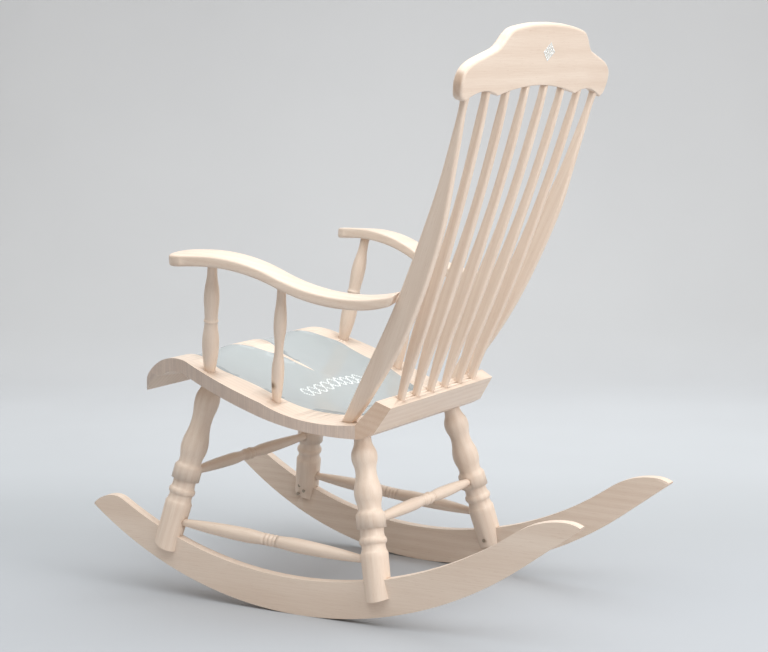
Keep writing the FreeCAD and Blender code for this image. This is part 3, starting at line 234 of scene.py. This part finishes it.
def birchTree(name):
    # the tree, its shader, and the wood's colour, roughness and height
    material = bpy.data.materials.new(name)
    material.use_nodes = True
    tree = material.node_tree
    wood = tree.nodes.new("ShaderNodeGroup")
    wood.node_tree = grainGroup         # its light, dark and contrast can be changed for each wood
    tree.links.new(readAttribute(tree, "grain", "Vector"), wood.inputs["Grain"])
    tree.links.new(readAttribute(tree, "endGrain"), wood.inputs["End Grain"])
    rough = remap(tree, wood.outputs["Dull"], 0, 1, birch["roughLow"], birch["roughHigh"])
    return material, tree, wood.outputs["Color"], rough, wood.outputs["Height"]


def finishWood(tree, colour, rough, height):
    shader = tree.nodes["Principled BSDF"]
    bump = tree.nodes.new("ShaderNodeBump")
    bump.inputs["Distance"].default_value = birch["fibreHeight"]
    bump.inputs["Strength"].default_value = birch["bumpStrength"]
    tree.links.new(height, bump.inputs["Height"])
    tree.links.new(bump.outputs["Normal"], shader.inputs["Normal"])
    tree.links.new(colour, shader.inputs["Base Color"])
    tree.links.new(rough, shader.inputs["Roughness"])


def bareMaterial():
    material, tree, colour, rough, height = birchTree("bareBirch")
    finishWood(tree, colour, rough, height)
    return material


knot = {"place": (0.2516, -0.1083, 0.4500), "core": 0.0050, "halo": 0.0115, "haloShare": 0.85,
        "wander": 0.0024, "wanderScale": 420,
        "coreColour": (0.22, 0.15, 0.10, 1), "haloColour": (0.50, 0.36, 0.25, 1)}


def knotMaterial():
    # a small dark knot: a core and a paler halo, by distance from its middle, with a ragged edge
    material, tree, colour, rough, height = birchTree("knottyBirch")
    coords = tree.nodes.new("ShaderNodeTexCoord").outputs["Object"]
    gap = tree.nodes.new("ShaderNodeVectorMath")
    gap.operation = "DISTANCE"
    gap.inputs[1].default_value = knot["place"]
    tree.links.new(coords, gap.inputs[0])
    wander = calc(tree, "MULTIPLY", noise(tree, coords, knot["wanderScale"], 2.0), knot["wander"])
    away = calc(tree, "ADD", calc(tree, "SUBTRACT", gap.outputs["Value"], knot["wander"] / 2), wander)
    halo = remap(tree, away, knot["core"], knot["halo"], knot["haloShare"], 0.0, smooth=True)
    core = remap(tree, away, knot["core"] * 0.5, knot["core"] * 1.4, 1.0, 0.0, smooth=True)
    colour = blend(tree, halo, colour, knot["haloColour"])
    colour = blend(tree, core, colour, knot["coreColour"])
    finishWood(tree, colour, rough, height)
    return material


# the seat's paint fills both hollows, and stops at a bare rim and a bare ridge between them

paint = {"colour": (0.425, 0.455, 0.460, 1), "roughness": 0.14, "glossRange": 0.06,
         "cloudTints": (0.97, 1.03), "speckleTint": 1.25, "fibreLeft": 0.25,
         "edge": 0.05, "wander": 0.02, "curveTop": 0.25,
         # the board's sawn sides show short upright strands of end grain, set in a darker colour that is
         # painted shade
         "sideShadeColour": (0.38, 0.295, 0.265, 1), "sideShadeLow": 0.36, "sideShadeHigh": 0.62,
         "strands": (420, 420, 14),
         # along y: how far out a hollow's middle lies, and half the painted width there
         "front": -0.425, "rear": 0.045,
         "offset": [(-0.425, 0.119), (-0.395, 0.119), (-0.333, 0.120), (-0.274, 0.117),
                    (-0.250, 0.115), (-0.215, 0.111), (-0.180, 0.107), (-0.110, 0.098),
                    (-0.006, 0.070), (0.045, 0.050)],
         "half": [(-0.425, 0.0), (-0.412, 0.052), (-0.395, 0.076), (-0.333, 0.079),
                  (-0.274, 0.099), (-0.250, 0.110), (-0.215, 0.108), (-0.180, 0.107),
                  (-0.110, 0.116), (-0.006, 0.090), (0.045, 0.060)]}


def seatCurve(tree, share, stations):
    # a smooth curve through the stations, read at a share of the way along the seat
    node = tree.nodes.new("ShaderNodeFloatCurve")
    length = paint["rear"] - paint["front"]
    points = node.mapping.curves[0].points
    for index, (y, value) in enumerate(stations):
        place = ((y - paint["front"]) / length, value / paint["curveTop"])
        if index < 2:
            points[index].location = place
        else:
            points.new(*place)
    node.mapping.update()
    tree.links.new(share, node.inputs["Value"])
    return calc(tree, "MULTIPLY", node.outputs["Value"], paint["curveTop"])


def seatMaterial():
    # painted where 1 - ((|x| - offset) / half)^2 is over nothing, on the upper side alone
    material, tree, colour, rough, height = birchTree("seatBirch")
    coords = tree.nodes.new("ShaderNodeTexCoord").outputs["Object"]
    parts = tree.nodes.new("ShaderNodeSeparateXYZ")
    tree.links.new(coords, parts.inputs[0])
    share = remap(tree, parts.outputs["Y"], paint["front"], paint["rear"])
    offset = seatCurve(tree, share, paint["offset"])
    half = seatCurve(tree, share, paint["half"])
    across = calc(tree, "SUBTRACT", calc(tree, "ABSOLUTE", parts.outputs["X"]), offset)
    reach = calc(tree, "DIVIDE", across, calc(tree, "MAXIMUM", half, 0.001))
    inside = calc(tree, "SUBTRACT", 1.0, calc(tree, "MULTIPLY", reach, reach))
    wander = calc(tree, "MULTIPLY", noise(tree, coords, 90, 2.0), paint["wander"])
    inside = calc(tree, "SUBTRACT", inside, wander)
    mask = remap(tree, inside, 0.0, paint["edge"], smooth=True)
    upward = readAttribute(tree, "upward")
    mask = calc(tree, "MULTIPLY", mask, remap(tree, upward, 0.1, 0.2))
    # painted shade: the board's upright faces, found by how little they face up, take a darker colour,
    # streaked by end-grain strands
    side = remap(tree, calc(tree, "ABSOLUTE", upward), 0.30, 0.55, 1.0, 0.0, smooth=True)
    strands = noise(tree, stretch(tree, coords, paint["strands"]), 1.0, 2.0)
    sawn = remap(tree, strands, 0.3, 0.7, paint["sideShadeLow"], paint["sideShadeHigh"])
    colour = blend(tree, calc(tree, "MULTIPLY", side, sawn), colour, paint["sideShadeColour"])
    cloud = noise(tree, coords, 9, 3.0)
    speckle = noise(tree, coords, 1400, 1.0)
    dull, bright = (tint(paint["colour"], factor) for factor in paint["cloudTints"])
    painted = blend(tree, cloud, dull, bright)
    painted = blend(tree, remap(tree, speckle, 0.66, 0.74, 0.0, 0.25), painted,
                    tint(paint["colour"], paint["speckleTint"]))
    gloss = remap(tree, cloud, 0.3, 0.7, paint["roughness"], paint["roughness"] + paint["glossRange"])
    colour = blend(tree, mask, colour, painted)
    rough = blend(tree, mask, rough, gloss, "FLOAT")
    height = calc(tree, "MULTIPLY", height, remap(tree, mask, 0, 1, 1.0, paint["fibreLeft"]))
    finishWood(tree, colour, rough, height)
    return material


bareBirch = bareMaterial()
knottyBirch = knotMaterial()
seatBirch = seatMaterial()
print("wood ready")


# turned and sawn pieces: copies of the frame's own solids, merged so that they shade smoothly

def finishWooden(piece, node, start, end, turn, material):
    seed = sum(ord(c) * (i + 1) for i, c in enumerate(node))      # one of its own for each piece
    grainAlong(piece, start, end, turn, seed)
    piece.data.materials.clear()
    piece.data.materials.append(material)
    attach(piece, "root")
    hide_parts(node)


def takeOver(node, start, end, turn=0.0, material=bareBirch):
    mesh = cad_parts[node].data.copy()
    piece = bpy.data.objects.new(node + "_wood", mesh)
    bpy.context.scene.collection.objects.link(piece)
    work = bmesh.new()
    work.from_mesh(mesh)
    bmesh.ops.remove_doubles(work, verts=work.verts, dist=1e-6)
    work.to_mesh(mesh)
    work.free()
    sharpen(piece)
    finishWooden(piece, node, start, end, turn, material)
    return piece


sides = {"left": 1, "right": -1}
# where the grain starts and ends in each piece of the left side, then its mirror image
longWays = {
    "leg_front": ((0.264, -0.361, 0.099), (0.190, -0.287, 0.449)),
    "leg_rear": ((0.238, 0.122, 0.054), (0.181, 0.051, 0.359)),
    "stretcher_side": ((0.253, -0.350, 0.152), (0.226, 0.107, 0.121)),
    "arm_spindle_front": ((0.254, -0.255, 0.469), (0.288, -0.221, 0.683)),
    "arm_spindle_middle": ((0.237, -0.109, 0.418), (0.268, -0.075, 0.640)),
    "back_post": ((0.203, 0.060, 0.389), (0.276, 0.318, 1.002)),
    "arm": ((0.289, -0.316, 0.68), (0.236, 0.153, 0.64)),
    "runner": ((0.268, -0.53, 0.12), (0.215, 0.53, 0.12)),
}
for kind, (start, end) in longWays.items():
    for name, side in sides.items():
        flip = (side, 1, 1)
        wood = knottyBirch if (kind, name) == ("arm_spindle_middle", "left") else bareBirch
        takeOver(f"{kind}_{name}", np.multiply(start, flip), np.multiply(end, flip),
                 turn=0.4 * side, material=wood)
takeOver("seat_rail", (-0.23, 0.1, 0.39), (0.23, 0.1, 0.39), 0.5)
seat = takeOver("seat_board", (0, -0.42, 0.5), (0, 0.06, 0.38), 0.2, seatBirch)
for index in range(1, 7):
    place = index - 3.5                 # counted from the middle of the back
    takeOver(f"back_spindle_{index}", (place * 0.0585, 0.118, 0.423), (place * 0.079, 0.318, 1.002),
             turn=index)
print("turned and sawn pieces ready")


# cross stretchers: turned rails, each with a row of beads near its middle

stretcherTurning = {"end": 0.0079, "straight": 0.024, "belly": 0.060, "bellyRadius": 0.0125,
                    "waist": 0.0098, "groove": 0.0088,
                    "widths": (0.007, 0.016, 0.016, 0.007), "tops": (0.0108, 0.0128, 0.0128, 0.0108),
                    # how far the beads' middle stands from the rail's middle
                    "front": 0.014, "rear": -0.010, "steps": 700, "around": 36}


def turnStretcher(end):
    # radius along the rail: a straight end, a taper that eases as its square, a belly, a waist,
    # then beads, each one half a sine wave over its grooves
    node = f"stretcher_{end}"
    shape = stretcherTurning
    low, high = (np.array(corner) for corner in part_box(node))
    middle, reach = (low + high) / 2, (high[0] - low[0]) / 2
    widths, tops = np.array(shape["widths"]), np.array(shape["tops"])
    edges = np.concatenate([[0], np.cumsum(widths)]) - widths.sum() / 2
    x = np.linspace(-reach, reach, shape["steps"])
    beaded = x - shape[end] * (1 - (x / reach) ** 2)
    out = abs(beaded)
    t = np.clip((reach - shape["straight"] - out) / (reach - shape["straight"] - shape["belly"]), 0, 1)
    radius = shape["end"] + (shape["bellyRadius"] - shape["end"]) * (1 - (1 - t) ** 2)
    s = np.clip((out - edges[-1]) / (shape["belly"] - edges[-1]), 0, 1)
    inner = shape["waist"] + (shape["bellyRadius"] - shape["waist"]) * np.sin(s * np.pi / 2)
    radius = np.where(out < shape["belly"], inner, radius)
    k = np.clip(np.searchsorted(edges, beaded) - 1, 0, len(widths) - 1)
    u = np.clip((beaded - edges[k]) / widths[k], 0, 1)
    bead = shape["groove"] + (tops[k] - shape["groove"]) * np.sin(np.pi * u)
    radius = np.where(out < edges[-1], bead, radius)
    around = np.linspace(0, 2 * np.pi, shape["around"] + 1)[:-1]
    points = np.stack([x[:, None] + middle[0] + around * 0,
                       middle[1] + radius[:, None] * np.cos(around),
                       middle[2] + radius[:, None] * np.sin(around)], -1)
    count = len(around)
    last = (len(x) - 1) * count
    faces = ringFaces(len(x), count)
    faces += [list(range(count)), list(range(last + count - 1, last - 1, -1))]
    piece = put(node + "_wood", points, faces, None)
    sharpen(piece)
    finishWooden(piece, node, (low[0], middle[1], middle[2]), (high[0], middle[1], middle[2]), 0.3,
                 bareBirch)


for end in ("front", "rear"):
    turnStretcher(end)
print("cross stretchers ready")


# crest rail: a board with eased edges, cut to a wavy outline

crestShape = {"middle": (0, 0.3205, 1.002), "lean": 13.45, "half": 0.0105,
              "topEase": 0.0060, "underEase": 0.0022, "easeBlend": 14, "easeSteps": 7,
              "faceInset": 0.0006,
              # the outline, as distances out from the middle and up along the board
              "arch": 0.028, "cusp": (0.168, 0.010), "scallopRise": 0.013, "foot": (0.294, 0.001),
              "top": [(0.294, 0.001), (0.307, 0.006), (0.3145, 0.020), (0.3180, 0.038), (0.311, 0.0575),
                      (0.287, 0.0725), (0.243, 0.0855), (0.205, 0.0965), (0.187, 0.1100),
                      (0.172, 0.1240), (0.148, 0.1350), (0.076, 0.1440), (0.0, 0.1465)]}


def smoothLine(stations, count):
    # a cubic through the stations, each slope from its neighbours, at even steps between them
    stations = np.asarray(stations, float)
    at = np.linspace(0, len(stations) - 1, count)
    slope = np.gradient(stations, axis=0)
    k = np.minimum(at.astype(int), len(stations) - 2)
    t = (at - k)[:, None]
    a, b = stations[k], stations[k + 1]
    return (a * (1 + 2 * t) * (1 - t) ** 2 + slope[k] * t * (1 - t) ** 2
            + b * t ** 2 * (3 - 2 * t) - slope[k + 1] * t ** 2 * (1 - t))


def crestOutline():
    # the arch falls with the square of the distance out, and the scallop is a parabola over a line
    shape = crestShape
    cuspX, cuspZ = shape["cusp"]
    footX, footZ = shape["foot"]
    x = np.linspace(0, cuspX, 50)
    arch = np.stack([x, shape["arch"] - (shape["arch"] - cuspZ) * (x / cuspX) ** 2], -1)
    s = np.linspace(0, 1, 40)[1:]
    scallop = np.stack([cuspX + (footX - cuspX) * s,
                        cuspZ + (footZ - cuspZ) * s + 4 * shape["scallopRise"] * s * (1 - s)], -1)
    top = smoothLine(shape["top"], 150)[1:]
    half = np.concatenate([arch, scallop, top])
    other = half[-2:0:-1] * [-1, 1]
    under = np.arange(len(half)) < len(arch) + len(scallop)
    return np.concatenate([half, other]), np.concatenate([under, under[-2:0:-1]])


def makeCrest():
    # every outline point carries the same edge: in by r (1 - cos a), across by r sin a, to both faces
    shape = crestShape
    outline, under = crestOutline()
    way = np.roll(outline, -1, 0) - np.roll(outline, 1, 0)
    way /= np.linalg.norm(way, axis=1, keepdims=True)
    outward = np.stack([way[:, 1], -way[:, 0]], -1)
    ease = np.where(under, shape["underEase"], shape["topEase"])
    for _ in range(shape["easeBlend"]):     # the two radii run into each other
        ease = (np.roll(ease, 1) + 2 * ease + np.roll(ease, -1)) / 4
    half = shape["half"]
    angle = np.linspace(np.pi / 2, 0, shape["easeSteps"])[:, None]
    inset = np.concatenate([[ease + shape["faceInset"]], ease * (1 - np.cos(angle))])
    across = np.concatenate([[ease * 0 + half], half - ease + ease * np.sin(angle)])
    inset = np.concatenate([inset, inset[::-1]])
    across = np.concatenate([across, -across[::-1]])
    flat = outline[None] - outward[None] * inset[..., None]
    lean = math.radians(shape["lean"])
    up = np.array([0, math.sin(lean), math.cos(lean)])
    back = np.array([0, math.cos(lean), -math.sin(lean)])
    points = (np.array(shape["middle"]) + flat[..., :1] * [1, 0, 0] + flat[..., 1:] * up
              + across[..., None] * back)
    rings, count = across.shape
    faces = ringFaces(rings, count)
    faces += [list(range(count - 1, -1, -1)), list(range((rings - 1) * count, rings * count))]
    piece = put("crest_rail_wood", points, faces, None)
    work = bmesh.new()
    work.from_mesh(piece.data)
    bmesh.ops.recalc_face_normals(work, faces=work.faces)
    work.to_mesh(piece.data)
    work.free()
    sharpen(piece, 40)
    finishWooden(piece, "crest_rail", (-0.31, 0.335, 1.05), (0.31, 0.335, 1.05), 0.2, bareBirch)
    return piece


crest = makeCrest()
print("crest ready")


# screws in the feet keep their own solids

steel = {"dark": (0.36, 0.29, 0.22, 1), "light": (0.48, 0.40, 0.32, 1), "wearScale": 900,
         "roughLow": 0.3, "roughHigh": 0.5}


def steelMaterial():
    material = bpy.data.materials.new("darkSteel")
    material.use_nodes = True
    tree = material.node_tree
    shader = tree.nodes["Principled BSDF"]
    shader.inputs["Metallic"].default_value = 1.0
    coords = tree.nodes.new("ShaderNodeTexCoord").outputs["Object"]
    wear = noise(tree, coords, steel["wearScale"])
    tree.links.new(blend(tree, wear, steel["dark"], steel["light"]), shader.inputs["Base Color"])
    tree.links.new(remap(tree, wear, 0.3, 0.7, steel["roughLow"], steel["roughHigh"]),
                   shader.inputs["Roughness"])
    return material


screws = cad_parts["foot_screws"]
screws.data.materials.clear()
screws.data.materials.append(steelMaterial())
print("screws ready")


# small cut stones, set on the seat and the crest rail

stone = {"radius": 0.0023, "height": 0.0011, "sides": 8, "turn": 0.7,
         # shares of the height and the radius
         "underside": 0.3, "girdle": 0.35, "table": 0.55,
         "colour": (0.90, 0.95, 0.95, 1), "unglintedShare": 0.86, "metallic": 0.3,
         "braidFrom": -0.104, "braidTo": 0.120, "braidMiddle": -0.120, "braidHalf": 0.0150,
         "braidLoop": 0.0249, "braidPitch": 0.0049, "braidGap": 0.0022,
         "crestPitch": (0.0086, 0.0031), "crestPlace": (-0.006, 1.090), "crestWidest": 6}


def stoneMaterial():
    material = bpy.data.materials.new("cutStone")
    material.use_nodes = True
    tree = material.node_tree
    shader = tree.nodes["Principled BSDF"]
    shader.inputs["Metallic"].default_value = stone["metallic"]
    coords = tree.nodes.new("ShaderNodeTexCoord").outputs["Object"]
    # painted glints: a noise makes some stones lighter than others, and varies their roughness too
    glintAndGloss = noise(tree, coords, 260, 1.0)
    dull = tint(stone["colour"], stone["unglintedShare"])
    tree.links.new(blend(tree, glintAndGloss, dull, stone["colour"]), shader.inputs["Base Color"])
    tree.links.new(remap(tree, glintAndGloss, 0.3, 0.7, 0.10, 0.22), shader.inputs["Roughness"])
    return material


def setStones(name, host, spots, way):
    # each stone: an eight-sided girdle, a crown that slopes in and a flat table, turned so that
    # it stands on the host's surface where a ray from its spot meets it
    count = stone["sides"]
    around = np.arange(count) * 2 * np.pi / count
    ring = np.stack([np.cos(around), np.sin(around), around * 0], -1)
    r, h = stone["radius"], stone["height"]
    shape = np.concatenate([ring * r - [0, 0, h * stone["underside"]],
                            ring * r + [0, 0, h * stone["girdle"]],
                            ring * r * stone["table"] + [0, 0, h]])
    faces = ringFaces(3, count)
    faces += [list(range(2 * count, 3 * count)), list(range(count - 1, -1, -1))]
    points, allFaces = [], []
    for index, spot in enumerate(spots):
        hit, place, normal, _ = host.ray_cast(Vector(spot), Vector(way))
        if not hit:
            continue
        z = np.array(normal)
        x = np.cross([0, 1, 0] if abs(z[1]) < 0.8 else [1, 0, 0], z)
        x = x / np.linalg.norm(x)
        turn = index * stone["turn"]
        axes = np.stack([x * math.cos(turn) + np.cross(z, x) * math.sin(turn),
                         np.cross(z, x) * math.cos(turn) - x * math.sin(turn), z])
        allFaces += [(np.array(face) + len(points) * len(shape)).tolist() for face in faces]
        points.append(shape @ axes + np.array(place))
    put(name, np.concatenate(points), allFaces).data.materials.append(cutStone)


def lozenge(middle, pitch, widest):
    # rows of one, two, up to the widest and back to one, each set between its neighbours' stones
    rows = np.arange(1 - widest, widest)
    return [(middle[0] + (k - (widest - abs(row) - 1) / 2) * pitch[0], middle[1] + row * pitch[1])
            for row in rows for k in range(widest - abs(row))]


def braid():
    # two sine waves half a loop apart, each walked in even steps along its own length, and the
    # second has no stones where it crosses the first
    x = np.linspace(stone["braidFrom"], stone["braidTo"], 2000)
    wave = stone["braidHalf"] * np.sin((x - x[0]) / stone["braidLoop"] * np.pi)
    walked = np.concatenate([[0], np.cumsum(np.hypot(np.diff(x), np.diff(wave)))])
    even = np.interp(np.arange(0, walked[-1], stone["braidPitch"]), walked, x)
    swing = np.interp(even, x, wave)
    return ([(a, stone["braidMiddle"] + b) for a, b in zip(even, swing)]
            + [(a, stone["braidMiddle"] - b) for a, b in zip(even, swing) if abs(b) > stone["braidGap"]])


cutStone = stoneMaterial()
bpy.context.view_layer.update()
seatSpots = [(x, y, 0.7) for x, y in braid()]       # the rays fall from above the seat
setStones("seat_stones", seat, seatSpots, (0, 0, -1))
crestRows = lozenge(stone["crestPlace"], stone["crestPitch"], stone["crestWidest"])
crestSpots = [(x, 0.6, z) for x, z in crestRows]    # and forward from behind the crest rail
setStones("crest_stones", crest, crestSpots, (0, -1, 0))
print("stones ready")


# camera

cameraValues = {"place": (3.2749, 1.8967, 1.0706), "azimuth": 120.14, "elevation": 7.93,
                "lens": 88.8, "sensor": 36, "farthest": 60}
lens = bpy.data.cameras.new("studioCamera")
lens.lens = cameraValues["lens"]
lens.sensor_width = cameraValues["sensor"]
lens.clip_end = cameraValues["farthest"]
camera = bpy.data.objects.new("studioCamera", lens)
azimuth, elevation = math.radians(cameraValues["azimuth"]), math.radians(cameraValues["elevation"])
backward = Vector((math.sin(azimuth) * math.cos(elevation), -math.cos(azimuth) * math.cos(elevation),
                   math.sin(elevation)))
camera.location = cameraValues["place"]
camera.rotation_euler = backward.to_track_quat("Z", "Y").to_euler()
bpy.context.scene.collection.objects.link(camera)
bpy.context.scene.camera = camera
bpy.context.scene.view_settings.view_transform = "Standard"
print("camera ready")


# studio: a seamless pale sweep of paper, and soft lamps

studio = {"wallDistance": 2.4, "bend": 1.3, "width": 14.0, "reach": 7.0, "height": 5.0,
          "roughness": 0.9, "cloud": 0.16, "cloudScale": 0.9, "cloudColour": (0.40, 0.40, 0.41, 1),
          # the paper's colour at distances along it: a cool floor that pales towards the wall, which is
          # painted light, darker where the lamps light the paper most and paler where they light it
          # least
          "runs": (-7.0, 0.0, 0.6, 1.1, 2.2, 3.0, 4.4, 9.0),
          "red": (0.444, 0.444, 0.464, 0.548, 0.626, 0.575, 0.585, 0.595),
          "green": (0.462, 0.462, 0.482, 0.567, 0.640, 0.580, 0.584, 0.592),
          "blue": (0.490, 0.490, 0.503, 0.592, 0.664, 0.592, 0.592, 0.598)}


def makeSweep():
    # a flat floor, a quarter circle, then an upright wall, turned to face the camera
    across = np.linspace(-studio["width"] / 2, studio["width"] / 2, 40)
    flat = np.linspace(-studio["reach"], studio["wallDistance"], 30)
    turn = np.linspace(0, np.pi / 2, 30)[1:]
    bend = studio["bend"]
    run = np.concatenate([flat, studio["wallDistance"] + bend * np.sin(turn),
                          np.full(12, studio["wallDistance"] + bend)])
    rise = np.concatenate([flat * 0, bend * (1 - np.cos(turn)),
                           np.linspace(bend, studio["height"], 13)[1:]])
    s, r = np.meshgrid(across, np.arange(len(run)), indexing="xy")
    away = np.array([-math.sin(azimuth), math.cos(azimuth)])
    right = np.array([-away[1], away[0]])
    points = np.stack([s * right[0] + run[r] * away[0], s * right[1] + run[r] * away[1], rise[r]], -1)
    sweep = put("studioSweep", points, gridFaces(len(run), len(across)), None)
    along = np.concatenate([[0], np.cumsum(np.hypot(np.diff(run), np.diff(rise)))]) + run[0]
    # painted light: each row of the paper takes its tone from its distance along the sweep, standing in
    # for how the lamps fall on it
    tone = np.stack([np.interp(along, studio["runs"], studio[c]) for c in ("red", "green", "blue")], -1)
    tone = np.repeat(tone[:, None, :], len(across), axis=1)
    sweep.data.attributes.new("tone", "FLOAT_VECTOR", "POINT").data.foreach_set(
        "vector", tone.astype(np.float32).ravel())
    sweep.data.shade_smooth()
    material = bpy.data.materials.new("sweepPaper")
    material.use_nodes = True
    tree = material.node_tree
    shader = tree.nodes["Principled BSDF"]
    shader.inputs["Roughness"].default_value = studio["roughness"]
    coords = tree.nodes.new("ShaderNodeTexCoord").outputs["Object"]
    cloud = remap(tree, noise(tree, coords, studio["cloudScale"], 4.0), 0.35, 0.7, 0.0, studio["cloud"])
    paper = blend(tree, cloud, readAttribute(tree, "tone", "Vector"), studio["cloudColour"])
    tree.links.new(paper, shader.inputs["Base Color"])
    # seen from behind, the paper is clear, so that it never hides the chair
    clear = tree.nodes.new("ShaderNodeBsdfTransparent")
    choose = tree.nodes.new("ShaderNodeMixShader")
    tree.links.new(tree.nodes.new("ShaderNodeNewGeometry").outputs["Backfacing"], choose.inputs["Fac"])
    tree.links.new(shader.outputs["BSDF"], choose.inputs[1])
    tree.links.new(clear.outputs["BSDF"], choose.inputs[2])
    tree.links.new(choose.outputs["Shader"], tree.nodes["Material Output"].inputs["Surface"])
    sweep.data.materials.append(material)


makeSweep()

lamps = {
    "overhead": {"place": (0.0, 0.2, 3.4), "size": 6.4, "power": 204, "colour": (0.93, 0.975, 1)},
    "key": {"place": (0.5, 3.75, 2.3), "size": 2.4, "power": 80, "colour": (1, 0.99, 0.98)},
    "side": {"place": (3.4, -1.0, 1.6), "size": 2.2, "power": 2, "colour": (0.98, 0.99, 1)},
}
for name, lamp in lamps.items():
    light = bpy.data.lights.new(name, "AREA")
    light.shape = "DISK"
    light.size = lamp["size"]
    light.energy = lamp["power"]
    light.color = lamp["colour"]
    holder = bpy.data.objects.new(name, light)
    holder.location = lamp["place"]
    holder.rotation_euler = (Vector((0, 0, 0.5)) - holder.location).to_track_quat("-Z", "Y").to_euler()
    bpy.context.scene.collection.objects.link(holder)

# the air gives a warm fill light, and looks pale where it is seen past the paper
air = {"fill": (0.375, 0.351, 0.319, 1), "seen": (0.60, 0.61, 0.62, 1)}
world = bpy.data.worlds.new("studioAir")
world.use_nodes = True
seen = world.node_tree.nodes.new("ShaderNodeLightPath").outputs["Is Camera Ray"]
world.node_tree.links.new(blend(world.node_tree, seen, air["fill"], air["seen"]),
                          world.node_tree.nodes["Background"].inputs["Color"])
bpy.context.scene.world = world
print("studio ready")
